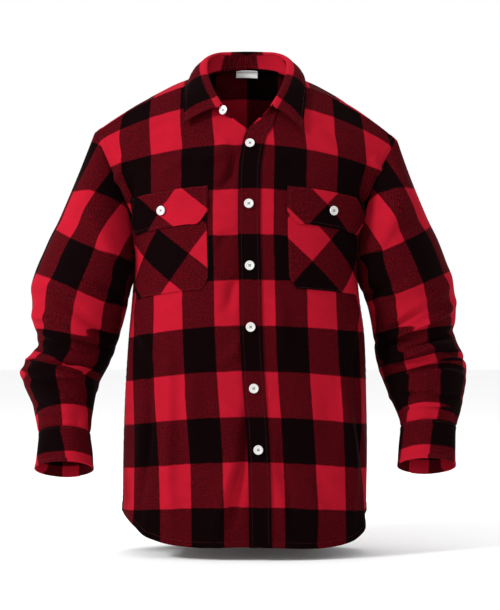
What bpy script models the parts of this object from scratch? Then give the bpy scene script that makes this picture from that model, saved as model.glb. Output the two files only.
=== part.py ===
"""A heavy cotton flannel work shirt, worn hollow form, front towards -Y.

X runs to the wearer's left, Z up. The origin lies on the shoulder crest, midway between the
two neck points. Sides are named for the wearer.
"""
import math

import bpy
import numpy as np
from mathutils import Matrix, Vector
from mathutils.bvhtree import BVHTree

# Cloth and making, in metres
CLOTH = 0.0014            # one layer of brushed flannel
DOUBLE = 0.0022           # two pressed layers: collar, stand, cuffs, flaps, placket
SEAM_GAP = 0.0003         # clear space between two sewn pieces
LAID_GAP = 0.0008         # clear space under a piece laid on a curved panel
LAP_LIFT = 0.0020         # how far each front leaves the middle surface where they lap
PLACKET_WIDTH = 0.035
PLACKET_COLUMNS = (0.0003, 0.012, 0.0232, PLACKET_WIDTH)
PLACKET_TOP = 0.0055      # how far the placket stops short of the neck seam
BUTTON_PITCH = 0.0955
FIRST_BUTTON = -0.0955    # height on the cut of the top placket button
FRONT_BUTTONS = 6

# Heights on the flat cut, measured from the shoulder crest down the middle of the body
UNDERARM = -0.286
NECK_CORNER = -0.051      # where the stand ends and the placket edge begins
SHOULDER_SEAM = 0.0187    # front edge of the yoke, just ahead of the crest
YOKE_FRONT = 0.126        # the same seam on the yoke, measured over the crest
YOKE_BACK = -0.100
BACK_NECK = 0.045
NECK_HALF = 0.078
SQUARENESS = 0.84         # below 1, a level is squarer than an ellipse
RIGHT, LEFT = -1, 1

# A row per level of the body. cut: height on the flat cloth. height: the same level in the
# middle of the worn shirt. droop_r, droop_l: how much lower it hangs at each side. right,
# left: half widths. shift: middle line's x. middle, side: y of the cloth at the middle and at
# the side seam or armhole. turn: degrees the cloth turns between them.
LEVEL = ("cut", "height", "droop_r", "droop_l", "right", "left", "shift", "middle", "side",
         "turn")
FRONT_LEVELS = (
    (-0.728, -0.726, -0.012, -0.012, 0.204, 0.193, 0.021, -0.116, 0.000, 90),   # hem
    (-0.647, -0.646, -0.013, -0.013, 0.200, 0.193, 0.020, -0.118, 0.000, 90),   # seat
    (-0.575, -0.575, -0.017, -0.016, 0.199, 0.194, 0.018, -0.119, 0.000, 90),   # hip
    (-0.478, -0.478, -0.019, -0.016, 0.196, 0.192, 0.011, -0.121, 0.000, 90),   # waist
    (-0.381, -0.381, -0.021, -0.012, 0.190, 0.188, 0.006, -0.125, 0.000, 90),   # ribs
    (-0.286, -0.286, -0.021, -0.014, 0.182, 0.177, 0.0045, -0.126, 0.000, 90),  # underarm
    (-0.230, -0.230, -0.021, -0.019, 0.181, 0.178, 0.003, -0.121, -0.026, 80),
    (-0.164, -0.164, -0.021, -0.022, 0.194, 0.193, 0.0035, -0.108, -0.034, 72),  # chest
    (-0.097, -0.097, -0.0315, -0.037, 0.2175, 0.2115, 0.005, -0.087, -0.036, 52),
    (-0.051, -0.051, -0.045, -0.053, 0.232, 0.228, 0.001, -0.066, -0.028, 32),  # collar bone
    (0.0187, 0.0187, -0.0892, -0.101, 0.243, 0.240, 0.000, -0.016, -0.013, 14),  # shoulder
)
BACK_LEVELS = (
    (-0.735, -0.733, -0.012, -0.012, 0.204, 0.193, 0.004, 0.106, 0.000, 90),    # hem
    (-0.647, -0.646, -0.013, -0.013, 0.200, 0.193, 0.004, 0.108, 0.000, 90),    # seat
    (-0.575, -0.575, -0.017, -0.016, 0.199, 0.194, 0.003, 0.110, 0.000, 90),    # hip
    (-0.478, -0.478, -0.019, -0.016, 0.196, 0.192, 0.002, 0.111, 0.000, 90),    # waist
    (-0.381, -0.381, -0.021, -0.012, 0.190, 0.188, 0.001, 0.113, 0.000, 90),    # ribs
    (-0.286, -0.286, -0.021, -0.014, 0.182, 0.177, 0.000, 0.115, 0.000, 90),    # underarm
    (-0.230, -0.230, -0.021, -0.019, 0.180, 0.175, 0.000, 0.116, 0.043, 74),
    (-0.164, -0.164, -0.021, -0.022, 0.193, 0.189, 0.000, 0.115, 0.056, 60),    # shoulder blade
    (-0.100, -0.100, -0.034, -0.039, 0.216, 0.209, 0.000, 0.110, 0.050, 46),    # yoke seam
    (-0.030, -0.030, -0.064, -0.073, 0.234, 0.229, 0.000, 0.095, 0.035, 32),
    (0.045, 0.041, -0.116, -0.128, 0.241, 0.237, 0.000, 0.064, 0.018, 20),      # back neck
    (0.110, 0.024, -0.093, -0.105, 0.243, 0.240, 0.000, 0.000, 0.000, 14),      # crest
    (0.126, 0.0187, -0.0892, -0.101, 0.243, 0.240, 0.000, -0.016, -0.013, 14),  # shoulder
)

# The fronts' inner edges, as x at a height on the cut: they part below the collar, and from
# the neck corner up they follow the neck seam.
EDGE = ("cut", "right", "left")
INNER_EDGES = (
    (-0.728, 0.0170, -0.0170),
    (-0.112, 0.0170, -0.0170),
    (-0.081, 0.0100, -0.0080),
    (-0.051, -0.0230, 0.0200),
    (-0.025, -0.0490, 0.0490),
    (-0.004, -0.0670, 0.0670),
    (0.0187, -0.0780, 0.0780),
)

# Shirt-tail hem: how far it rises, by distance along the cloth in from the side seam.
HEM_RISE = {
    RIGHT: ((0.000, 0.061), (0.030, 0.056), (0.065, 0.044), (0.102, 0.017), (0.145, 0.005),
            (0.190, 0.000)),
    LEFT: ((0.000, 0.061), (0.015, 0.056), (0.037, 0.044), (0.064, 0.020), (0.104, 0.007),
           (0.150, 0.000)),
}

# A row per ring of a sleeve, from the shoulder down. inner, outer: x and z on the body side
# and the outer side. y: middle. depth: half the front-to-back size. pitch: degrees by which
# the ring's front is raised, as the forearm comes forward.
RING = ("inner_x", "inner_z", "outer_x", "outer_z", "y", "depth", "pitch")
RIGHT_RINGS = (
    (0.188, -0.323, 0.272, -0.140, -0.002, 0.079, 0),
    (0.192, -0.343, 0.300, -0.205, 0.000, 0.079, 0),
    (0.1975, -0.364, 0.327, -0.262, 0.003, 0.078, 0),
    (0.205, -0.392, 0.347, -0.320, 0.006, 0.075, 0),
    (0.213, -0.418, 0.345, -0.365, 0.008, 0.070, 2),
    (0.222, -0.440, 0.338, -0.402, 0.006, 0.064, 6),    # crease over the elbow
    (0.233, -0.460, 0.352, -0.435, 0.000, 0.066, 10),
    (0.241, -0.478, 0.364, -0.459, -0.008, 0.063, 15),  # elbow fold
    (0.2455, -0.502, 0.351, -0.489, -0.020, 0.056, 20),
    (0.2480, -0.524, 0.3386, -0.519, -0.032, 0.050, 22),
    (0.2498, -0.5425, 0.3327, -0.5425, -0.042, 0.0415, 23),
    (0.2510, -0.553, 0.3302, -0.553, -0.047, 0.0375, 23),  # sewn to the cuff
)
LEFT_RINGS = (
    (0.181, -0.314, 0.262, -0.140, -0.002, 0.077, 0),
    (0.188, -0.331, 0.287, -0.200, 0.000, 0.077, 0),
    (0.1965, -0.352, 0.314, -0.258, 0.003, 0.076, 0),
    (0.202, -0.378, 0.333, -0.318, 0.006, 0.073, 0),
    (0.206, -0.404, 0.3375, -0.360, 0.008, 0.069, 2),
    (0.208, -0.425, 0.333, -0.396, 0.006, 0.064, 6),    # crease over the elbow
    (0.212, -0.446, 0.346, -0.424, 0.000, 0.066, 10),
    (0.221, -0.470, 0.353, -0.448, -0.008, 0.063, 15),  # elbow fold
    (0.2306, -0.494, 0.348, -0.483, -0.020, 0.056, 20),
    (0.2396, -0.5153, 0.3426, -0.5124, -0.032, 0.050, 22),
    (0.2453, -0.5326, 0.3346, -0.5336, -0.041, 0.0425, 23),
    (0.2461, -0.5426, 0.3318, -0.5426, -0.046, 0.0375, 23),  # sewn to the cuff
)
CUFF_RINGS = {
    RIGHT: ((0.2510, -0.5536, 0.3302, -0.5536, -0.0473, 0.0375, 23),
            (0.2468, -0.5806, 0.3322, -0.5806, -0.060, 0.038, 23),
            (0.2435, -0.6071, 0.3344, -0.6071, -0.071, 0.0385, 23)),
    LEFT: ((0.2461, -0.5432, 0.3318, -0.5432, -0.0463, 0.0375, 23),
           (0.2429, -0.5727, 0.3307, -0.5727, -0.059, 0.038, 23),
           (0.2393, -0.6022, 0.3292, -0.6022, -0.070, 0.0385, 23)),
}
CUFF_LAP = math.radians(35)
CUFF_START = math.radians(262)    # angle of the cuff's outer end, on the back of the wrist

# A row per station of the collar, from the middle of the back to the front end. along:
# share of the neck seam. roll: where the leaf folds over. edge: its free edge.
COLLAR = ("along", "roll_x", "roll_y", "roll_z", "edge_x", "edge_y", "edge_z")
COLLAR_STATIONS = (
    (0.00, 0.000, 0.062, 0.068, 0.000, 0.094, 0.026),
    (0.24, 0.043, 0.055, 0.066, 0.054, 0.085, 0.026),
    (0.44, 0.0625, 0.027, 0.052, 0.087, 0.042, 0.027),
    (0.62, 0.0640, -0.008, 0.034, 0.0930, -0.006, 0.0165),
    (0.80, 0.0560, -0.040, 0.003, 0.0995, -0.047, -0.020),
    (1.00, 0.0405, -0.067, -0.030, 0.0990, -0.073, -0.060),
)
LEFT_TIP_SHIFT = (-0.012, -0.001, -0.014)   # the left point hangs lower and nearer the middle

# Largest folds. Body: a line on the cut from one end to the other, its half width and height.
FOLD = ("across_a", "cut_a", "across_b", "cut_b", "width", "height")
FRONT_FOLDS = {
    RIGHT: ((0.150, -0.350, 0.205, -0.740, 0.022, 0.0045),
            (0.215, -0.430, 0.235, -0.700, 0.014, -0.0040),
            (0.060, -0.500, 0.070, -0.745, 0.020, 0.0030)),
    LEFT: ((0.170, -0.360, 0.190, -0.740, 0.020, 0.0040),
           (0.215, -0.420, 0.225, -0.700, 0.014, -0.0035),
           (0.055, -0.560, 0.045, -0.745, 0.016, 0.0030)),
}
BACK_FOLDS = {
    RIGHT: ((0.060, -0.330, 0.075, -0.750, 0.024, 0.0050),
            (0.150, -0.300, 0.165, -0.740, 0.022, -0.0045)),
    LEFT: ((0.055, -0.360, 0.060, -0.750, 0.022, 0.0045),
           (0.155, -0.310, 0.150, -0.740, 0.024, -0.0040)),
}
# Sleeve folds: angle round the arm in degrees (0 on the body side, 90 in front, 180 outside),
# ring they cross, half spans, slope in rings per radian, and height.
SLEEVE_FOLD = ("angle", "ring", "spread", "width", "slope", "height")
SLEEVE_FOLDS = {
    RIGHT: ((95, 6.4, 55, 0.55, 0.6, -0.006),
            (110, 7.9, 60, 0.60, 0.4, 0.006),
            (70, 9.2, 50, 0.45, -0.5, -0.004),
            (100, 10.2, 70, 0.40, 0.2, 0.003),
            (265, 6.6, 50, 0.60, -0.4, 0.005)),
    LEFT: ((90, 5.3, 55, 0.50, -0.5, -0.005),
           (95, 6.4, 60, 0.55, -0.3, 0.006),
           (85, 7.6, 55, 0.50, 0.3, -0.006),
           (100, 8.9, 65, 0.50, 0.2, 0.005),
           (265, 6.8, 50, 0.60, 0.4, 0.005)),
}

# Chest pockets, as distances along the cloth from the middle line and heights on the cut
POCKET_INNER = {RIGHT: 0.0655, LEFT: 0.0610}
POCKET_WIDTH = 0.146
POCKET_LEVELS = (-0.320, -0.286, -0.258, -0.230, -0.197, -0.180)
FLAP_LEVELS = (-0.217, -0.197, -0.178, -0.160)
POCKET_CLIP = (0.011, 0.017)      # cut across each lower corner: width, height
FLAP_CLIP = (0.015, 0.017)
FLAP_BUTTON = -0.190
LABEL_SIZE = (0.036, 0.021)
LABEL_THICKNESS = 0.0007

BUTTON_PROFILE = (                # radius, height above the button's back, in millimetres
    (0.0, 0.0), (4.6, 0.0), (7.0, 0.9), (7.5, 1.7), (7.0, 2.6), (6.0, 2.8), (5.0, 2.1), (0.0, 2.0),
)
BUTTON_SIDES = 20
BUTTON_HOLE_RADIUS = 0.0008
BUTTON_HOLE_PLACE = 0.0014        # how far each hole lies from the middle, along X and Y


# ---------------------------------------------------------------- small helpers

def as_table(names, rows):
    """Columns of a table by name."""
    columns = np.array(rows, float).T
    return dict(zip(names, columns))


def smooth(places, values, at):
    """Values on a smooth curve through the given places, with no overshoot between them."""
    steps = np.diff(values) / np.diff(places)
    slopes = np.gradient(values, places)
    limit = 3 * np.minimum(np.abs(steps[:-1]), np.abs(steps[1:]))
    turning = steps[:-1] * steps[1:] <= 0
    slopes[1:-1] = np.where(turning, 0.0, np.clip(slopes[1:-1], -limit, limit))
    at = np.clip(at, places[0], places[-1])
    i = np.clip(np.searchsorted(places, at, side="right") - 1, 0, len(places) - 2)
    span = places[i + 1] - places[i]
    t = (at - places[i]) / span
    start = (1 + 2 * t) * (1 - t) ** 2 * values[i] + t * (1 - t) ** 2 * span * slopes[i]
    end = t * t * (3 - 2 * t) * values[i + 1] + t * t * (t - 1) * span * slopes[i + 1]
    return start + end


def unit(vectors):
    length = np.linalg.norm(vectors, axis=-1, keepdims=True)
    return vectors / np.maximum(length, 1e-12)


def ease(t):
    t = np.clip(t, 0.0, 1.0)
    return t * t * (3 - 2 * t)


FRONT = as_table(LEVEL, FRONT_LEVELS)
BACK = as_table(LEVEL, BACK_LEVELS)
FRONT["outward"], BACK["outward"] = -1, 1
EDGES = as_table(EDGE, INNER_EDGES)
STATIONS = as_table(COLLAR, COLLAR_STATIONS)


# ---------------------------------------------------------------- the body's surface

ROW_STEPS = 48


def row_curve(face, side, cut, steps=ROW_STEPS):
    """Points of one level from the middle line to its side, and distances along them."""
    level = {name: smooth(face["cut"], face[name], cut) for name in LEVEL[1:]}
    turn = math.radians(level["turn"])
    t = np.linspace(0.0, 1.0, steps) * turn
    half = level["right"] if side == RIGHT else level["left"]
    reach = side * half - level["shift"]
    x = level["shift"] + reach * (np.sin(t) / math.sin(turn)) ** SQUARENESS
    fall = np.abs(np.cos(t)) ** SQUARENESS
    bow = (1 - fall) / (1 - fall[-1])
    y = level["middle"] + (level["side"] - level["middle"]) * bow
    droop = level["droop_r"] if side == RIGHT else level["droop_l"]
    z = level["height"] + droop * (x / half) ** 2
    points = np.stack([x, y, z], axis=-1)
    runs = np.linalg.norm(np.diff(points, axis=0), axis=1)
    return points, np.concatenate([[0.0], np.cumsum(runs)])


def row_length(face, side, cut):
    return row_curve(face, side, cut)[1][-1]


def bare_point(face, side, across, cut):
    """Point of the unfolded body cloth. A negative across lies over the middle line."""
    if across < 0:
        side, across = -side, -across
    points, along = row_curve(face, side, cut)
    if across > along[-1]:
        return points[-1] + (points[-1] - points[-2]) / along[1] * (across - along[-1])
    return np.array([np.interp(across, along, points[:, axis]) for axis in range(3)])


def bare_normal(face, side, across, cut):
    step = 0.004
    low, high = face["cut"][0] + step, face["cut"][-1] - step
    cut = min(max(cut, low), high)
    edge = row_length(face, side, cut) - step
    across = min(across, edge)
    along = bare_point(face, side, across + step, cut) - bare_point(face, side, across - step, cut)
    up = bare_point(face, side, across, cut + step) - bare_point(face, side, across, cut - step)
    return unit(np.cross(along, up) * side * -face["outward"])


def fold_height(folds, across, cut):
    """Height of all the folds at one place on the cloth."""
    total = 0.0
    for row in folds:
        fold = dict(zip(FOLD, row))
        start = np.array([fold["across_a"], fold["cut_a"]])
        line = np.array([fold["across_b"], fold["cut_b"]]) - start
        away = np.array([across, cut]) - start
        share = float(away @ line / (line @ line))
        off = np.linalg.norm(away - np.clip(share, 0, 1) * line)
        total += fold["height"] * ease(share * 3.0) * math.exp(-(off / fold["width"]) ** 2)
    return total


def across_at_x(face, side, x, cut):
    """Distance along the cloth, from the middle line, of the place with this x."""
    points, along = row_curve(face, side, cut)
    gap = (x - points[0, 0]) * side
    return float(np.interp(gap, (points[:, 0] - points[0, 0]) * side, along)) if gap > 0 else gap


def body_point(face, side, across, cut, lift=0.0):
    """Point and outward direction of the folded cloth, moved out by lift."""
    folds = (FRONT_FOLDS if face is FRONT else BACK_FOLDS)[side]
    normal = bare_normal(face, side, across, cut)
    middle = ease((across - 0.01) / 0.04) if face is FRONT else 1.0
    height = fold_height(folds, abs(across), cut) * middle
    return bare_point(face, side, across, cut) + normal * (height + lift), normal


def hem_cut(face, side, from_seam):
    """Height of the hem on the cut, by distance in from the side seam."""
    rise = np.interp(from_seam, *zip(*HEM_RISE[side]))
    seam = FRONT["cut"][0] + HEM_RISE[side][0][1]
    return face["cut"][0] + rise * (seam - face["cut"][0]) / HEM_RISE[side][0][1]


def inner_edge(side, cut):
    """Distance along the front from the middle line to its inner edge."""
    name = "right" if side == RIGHT else "left"
    x = np.interp(cut, EDGES["cut"], EDGES[name])
    if cut < NECK_CORNER - 0.022:
        return x * side
    return across_at_x(FRONT, side, x, cut)


# ---------------------------------------------------------------- building solids

def faced_out(vertices, faces):
    """The same faces, turned so that the closed surface points out."""
    volume = 0.0
    for face in faces:
        first = vertices[face[0]]
        for a, b in zip(face[1:-1], face[2:]):
            volume += float(np.dot(first, np.cross(vertices[a], vertices[b])))
    return faces if volume > 0 else [tuple(reversed(face)) for face in faces]


def add_solid(name, vertices, faces, material):
    mesh = bpy.data.meshes.new(name)
    mesh.from_pydata([tuple(map(float, v)) for v in vertices], [], faced_out(vertices, faces))
    mesh.update()
    mesh.shade_smooth()
    mesh.set_sharp_from_angle(angle=math.radians(45))
    mesh.materials.append(material)
    piece = bpy.data.objects.new(name, mesh)
    bpy.context.scene.collection.objects.link(piece)
    return piece


def cloth_wall(name, points, normals, thickness, material, tube=False):
    """Closed wall of cloth about a grid of middle points; a tube joins its last column."""
    rows, columns = points.shape[:2]
    outer = points + normals * thickness / 2
    inner = points - normals * thickness / 2
    vertices = np.concatenate([outer.reshape(-1, 3), inner.reshape(-1, 3)])
    under = rows * columns
    faces = []

    def add_quad(a, b, c, d):
        faces.extend(((a, b, c), (a, c, d)))

    wrap = columns if tube else columns - 1
    for i in range(rows - 1):
        for j in range(wrap):
            k = (j + 1) % columns
            a, b = i * columns + j, i * columns + k
            c, d = a + columns, b + columns
            add_quad(a, b, d, c)
            add_quad(under + d, under + b, under + a, under + c)
    for j in range(wrap):
        k = (j + 1) % columns
        last = (rows - 1) * columns
        add_quad(j, under + j, under + k, k)
        add_quad(last + j, last + k, under + last + k, under + last + j)
    if not tube:
        for i in range(rows - 1):
            a, c = i * columns, (i + 1) * columns
            b, d = a + columns - 1, c + columns - 1
            add_quad(a, c, under + c, under + a)
            add_quad(b, under + b, under + d, d)
    add_solid(name, vertices, faces, material)
    corners = [tuple(map(float, vertex)) for vertex in vertices]
    return BVHTree.FromPolygons(corners, faced_out(vertices, faces))


def grid_normals(points, tube=False):
    """Outward directions of a grid of points, from its neighbours."""
    if tube:
        along = np.roll(points, -1, axis=1) - np.roll(points, 1, axis=1)
    else:
        along = np.gradient(points, axis=1)
    return unit(np.cross(along, np.gradient(points, axis=0)))


def make_material(name, colour, roughness):
    material = bpy.data.materials.new(name)
    material.use_nodes = True
    shader = material.node_tree.nodes["Principled BSDF"]
    shader.inputs["Base Color"].default_value = (*colour, 1.0)
    shader.inputs["Roughness"].default_value = roughness
    return material


# ---------------------------------------------------------------- sleeves and armholes

FRONT_ARM_CUTS = (-0.286, -0.258, -0.230, -0.197, -0.164, -0.130, -0.097, -0.051, 0.0187)
YOKE_ARM_CUTS = (0.126, 0.110, 0.080, 0.045, 0.005, -0.050, -0.100)
BACK_ARM_CUTS = (-0.100, -0.132, -0.164, -0.197, -0.230, -0.258, -0.286)
SLEEVE_STEPS = (0.0, 0.5, 1.1, 1.9, 2.8, 3.7, 4.5, 5.2, 5.8, 6.4, 7.0, 7.5, 8.0, 8.7, 9.5, 10.3,
                11.0, 12.0)


def armhole_points(side):
    """Seam points round the armhole: underarm, up the front, over the yoke, down the back."""
    ring = []
    for face, cuts in ((FRONT, FRONT_ARM_CUTS), (BACK, YOKE_ARM_CUTS[1:]),
                       (BACK, BACK_ARM_CUTS[1:-1])):
        for cut in cuts:
            ring.append(bare_point(face, side, row_length(face, side, cut), cut))
    return np.array(ring)


def armhole_angles(ring):
    """Angle round the arm of each seam point: 0 at the underarm, 180 on the crest."""
    runs = np.linalg.norm(np.roll(ring, -1, axis=0) - ring, axis=1)
    along = np.concatenate([[0.0], np.cumsum(runs)])
    crest = len(FRONT_ARM_CUTS)
    front = along[:crest + 1] / along[crest] * math.pi
    back = math.pi + (along[crest + 1:] - along[crest]) / (along[-1] - along[crest]) * math.pi
    return np.concatenate([front, back[:-1]])


def ring_points(side, ring, angles):
    """Points of one sleeve ring at the given angles."""
    ring = dict(zip(RING, ring))
    inner = np.array([side * ring["inner_x"], ring["y"], ring["inner_z"]])
    outer = np.array([side * ring["outer_x"], ring["y"], ring["outer_z"]])
    middle, reach = (inner + outer) / 2, (outer - inner) / 2
    pitch = math.radians(ring["pitch"])
    front = np.array([0.0, -math.cos(pitch), math.sin(pitch)]) * ring["depth"]
    return middle - np.cos(angles)[:, None] * reach + np.sin(angles)[:, None] * front


def sleeve_folds(side, angles, step):
    """Height of the sleeve's folds at every angle of one step down the sleeve."""
    total = np.zeros(len(angles))
    for row in SLEEVE_FOLDS[side]:
        fold = dict(zip(SLEEVE_FOLD, row))
        turn = (angles - math.radians(fold["angle"]) + math.pi) % (2 * math.pi) - math.pi
        place = (step - fold["ring"] - fold["slope"] * turn) / fold["width"]
        reach = turn / math.radians(fold["spread"])
        total += fold["height"] * np.exp(-place ** 2 - reach ** 2)
    return total


def sleeve_grid(side):
    """Middle points of a whole sleeve, its outward directions and the ring angles."""
    seam = armhole_points(side)
    angles = armhole_angles(seam)
    table = RIGHT_RINGS if side == RIGHT else LEFT_RINGS
    keys = np.stack([seam] + [ring_points(side, row, angles) for row in table])
    places = np.arange(len(keys), dtype=float)
    grid = np.empty((len(SLEEVE_STEPS), len(angles), 3))
    for i, step in enumerate(SLEEVE_STEPS):
        for j in range(len(angles)):
            for axis in range(3):
                grid[i, j, axis] = smooth(places, keys[:, j, axis], step)
    normals = grid_normals(grid, tube=True) * -side
    fade = np.array(SLEEVE_STEPS) < 11.5
    for i, step in enumerate(SLEEVE_STEPS):
        grid[i] += normals[i] * (sleeve_folds(side, angles, step) * fade[i])[:, None]
    return grid, grid_normals(grid, tube=True) * -side, angles


def armhole_seam(side, grid):
    """Directions shared by both sides of the armhole seam: the way across it and outward."""
    seam = armhole_points(side)
    ring = ([(FRONT, cut) for cut in FRONT_ARM_CUTS] + [(BACK, cut) for cut in YOKE_ARM_CUTS[1:]]
            + [(BACK, cut) for cut in BACK_ARM_CUTS[1:-1]])
    into_body = []
    for place, (face, cut) in zip(seam, ring):
        inside = bare_point(face, side, row_length(face, side, cut) - 0.02, cut)
        into_body.append(unit(inside - place))
    into_body[0] = np.array([0.0, 0.0, -1.0])
    into_sleeve = unit(grid[1] - seam)
    across = unit(into_sleeve - np.array(into_body))
    along = unit(np.roll(seam, -1, axis=0) - np.roll(seam, 1, axis=0))
    across = unit(across - along * np.sum(across * along, axis=1, keepdims=True))
    outward = unit(np.cross(along, across))
    away = seam - seam.mean(axis=0)
    outward *= np.sign(np.sum(outward * away, axis=1, keepdims=True))
    return seam, across, outward


SLEEVES = {side: sleeve_grid(side) for side in (RIGHT, LEFT)}
SEAMS = {side: armhole_seam(side, SLEEVES[side][0]) for side in (RIGHT, LEFT)}


def seam_entry(side, index):
    """Point and direction on the body's side of one armhole seam point."""
    seam, across, outward = SEAMS[side]
    index %= len(seam)
    return seam[index] - across[index] * SEAM_GAP / 2, outward[index]


# ---------------------------------------------------------------- body panels

LOW_CUTS = (-0.728, -0.680, -0.632, -0.585, -0.533, -0.480, -0.428, -0.378, -0.330)
HEM_ZONE = -0.585                 # below this the levels are drawn up to the curved hem
NECK_CUTS = (-0.081, -0.051, -0.025, -0.004, 0.0187)
FRONT_COLUMNS = 12
BACK_COLUMNS = 12                 # on each half
YOKE_STEPS = 6


def hemmed(face, side, across, cut):
    """Height on the cut with the lowest levels drawn up to the curved hem."""
    if cut >= HEM_ZONE:
        return cut
    from_seam = max(0.0, row_length(face, side, cut) - across)
    share = (cut - LOW_CUTS[0]) / (HEM_ZONE - LOW_CUTS[0])
    hem = hem_cut(face, side, from_seam)
    return hem + (HEM_ZONE - hem) * share


def lap_lift(across, cut):
    """How far the fronts part from the middle surface near the placket."""
    beside = 1 - ease((across - 0.018) / 0.045)
    below_neck = 1 - ease((cut - NECK_CORNER + 0.05) / 0.05)
    return LAP_LIFT * beside * (0.35 + 0.65 * below_neck)


def seam_normal(side, across):
    """Outward direction shared by the two sides of the shoulder seam."""
    front = bare_normal(FRONT, side, across, SHOULDER_SEAM)
    yoke = bare_normal(BACK, side, across, YOKE_FRONT)
    return unit(front + yoke)


def front_columns(side, cut):
    """Places of the front's columns: evenly out to the pocket's outer edge, then to the side."""
    near, length = inner_edge(side, cut), row_length(FRONT, side, cut)
    even = near + (length - near) * (FRONT_COLUMNS - 2) / FRONT_COLUMNS
    low = 1 - ease((cut + 0.164) / 0.06)
    outer = even + (POCKET_INNER[side] + POCKET_WIDTH - even) * low
    return np.concatenate([np.linspace(near, outer, FRONT_COLUMNS - 1),
                           [(outer + length) / 2, length]])


def front_grid(side):
    cuts = LOW_CUTS + FRONT_ARM_CUTS[:-2] + NECK_CUTS
    points = np.empty((len(cuts), FRONT_COLUMNS + 1, 3))
    normals = np.empty_like(points)
    armhole = dict(zip(FRONT_ARM_CUTS, range(len(FRONT_ARM_CUTS))))
    for i, cut in enumerate(cuts):
        for j, across in enumerate(front_columns(side, cut)):
            place = hemmed(FRONT, side, across, cut)
            if place != cut:
                across *= row_length(FRONT, side, place) / row_length(FRONT, side, cut)
            if j == FRONT_COLUMNS:
                across -= SEAM_GAP / 2
            if cut == cuts[-1]:
                place -= SEAM_GAP / 2
            lap = lap_lift(across, place) * (1 if side == LEFT else -1)
            points[i, j], normals[i, j] = body_point(FRONT, side, across, place, lap)
            if cut == cuts[-1]:
                normals[i, j] = seam_normal(side, across)
        if cut in armhole:
            points[i, -1], normals[i, -1] = seam_entry(side, armhole[cut])
        elif cut > UNDERARM:
            points[i, -1], normals[i, -1] = between_seam_points(side, cut)
        if cut == UNDERARM:
            points[i, -1, 1] -= SEAM_GAP / 2
    straighten_row(points[-1], FRONT_COLUMNS // YOKE_STEPS)
    return points, normals


def between_seam_points(side, cut):
    """Point on the armhole seam's straight run between two of its own points."""
    index = int(np.searchsorted(FRONT_ARM_CUTS, cut)) - 1
    low, high = FRONT_ARM_CUTS[index], FRONT_ARM_CUTS[index + 1]
    share = (cut - low) / (high - low)
    first, second = seam_entry(side, index), seam_entry(side, index + 1)
    return (first[0] * (1 - share) + second[0] * share,
            unit(first[1] * (1 - share) + second[1] * share))


def straighten_row(row, group):
    """Lays the points between every group-th point on the straight line between them."""
    for start in range(0, len(row) - 1, group):
        for k in range(1, group):
            share = k / group
            row[start + k] = row[start] * (1 - share) + row[start + group] * share


def back_grid():
    cuts = LOW_CUTS + tuple(reversed(BACK_ARM_CUTS))
    columns = 2 * BACK_COLUMNS + 1
    points = np.empty((len(cuts), columns, 3))
    normals = np.empty_like(points)
    armhole = dict(zip(BACK_ARM_CUTS, range(len(BACK_ARM_CUTS))))
    for i, cut in enumerate(cuts):
        for j in range(columns):
            side = RIGHT if j < BACK_COLUMNS else LEFT
            length = row_length(BACK, side, cut)
            across = abs(j - BACK_COLUMNS) / BACK_COLUMNS * length
            place = hemmed(BACK, side, across, cut)
            if place != cut:
                across *= row_length(BACK, side, place) / length
            if j in (0, columns - 1):
                across -= SEAM_GAP / 2
            if cut == YOKE_BACK:
                place -= SEAM_GAP / 2
            points[i, j], normals[i, j] = body_point(BACK, side, across, place)
        if cut in armhole:
            index = len(FRONT_ARM_CUTS) + len(YOKE_ARM_CUTS) - 2 + armhole[cut]
            points[i, 0], normals[i, 0] = seam_entry(RIGHT, index)
            points[i, -1], normals[i, -1] = seam_entry(LEFT, index)
        if cut == UNDERARM:
            points[i, (0, -1), 1] += SEAM_GAP / 2
    straighten_row(points[-1], BACK_COLUMNS // YOKE_STEPS)
    return points, normals


def yoke_neck(share):
    """Place on the yoke's neck edge: share 0 at the shoulder seam, 1 at the middle back."""
    straight = 0.17
    crest = 0.110
    if share < straight:
        return NECK_HALF, YOKE_FRONT - (YOKE_FRONT - crest) * share / straight
    angle = (share - straight) / (1 - straight) * math.pi / 2
    return NECK_HALF * math.cos(angle), crest - (crest - BACK_NECK) * math.sin(angle)


def yoke_lines(side):
    """Lines of the yoke from neck to outer edge: (neck across, neck cut, across, cut)."""
    outer = [(row_length(BACK, side, cut), cut) for cut in YOKE_ARM_CUTS]
    width = row_length(BACK, side, YOKE_BACK)
    outer += [(width * (1 - k / YOKE_STEPS), YOKE_BACK) for k in range(1, YOKE_STEPS + 1)]
    lines = []
    for k, (across, cut) in enumerate(outer):
        x, neck_cut = yoke_neck(k / (len(outer) - 1))
        lines.append((across_at_x(BACK, side, side * x, neck_cut), neck_cut, across, cut))
    return lines


def yoke_grid():
    """Horseshoe of lines from the right shoulder seam round the back neck to the left."""
    right, left = yoke_lines(RIGHT), yoke_lines(LEFT)
    lines = [(RIGHT, line) for line in right] + [(LEFT, line) for line in reversed(left[:-1])]
    points = np.empty((YOKE_STEPS + 1, len(lines), 3))
    normals = np.empty_like(points)
    for j, (side, (near, near_cut, far, far_cut)) in enumerate(lines):
        for i in range(YOKE_STEPS + 1):
            share = i / YOKE_STEPS
            cut = near_cut + (far_cut - near_cut) * share
            across = near + (far - near) * share
            if far_cut == YOKE_FRONT:
                cut -= SEAM_GAP / 2
            elif far_cut == YOKE_BACK and i == YOKE_STEPS:
                cut += SEAM_GAP / 2
            points[i, j], normals[i, j] = body_point(BACK, side, across, cut)
            if far_cut == YOKE_FRONT:
                normals[i, j] = seam_normal(side, across)
        index = j if side == RIGHT else len(lines) - 1 - j
        if index < len(YOKE_ARM_CUTS):
            points[-1, j], normals[-1, j] = seam_entry(side, len(FRONT_ARM_CUTS) - 1 + index)
    return points, normals


# ---------------------------------------------------------------- laying one piece on another

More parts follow.
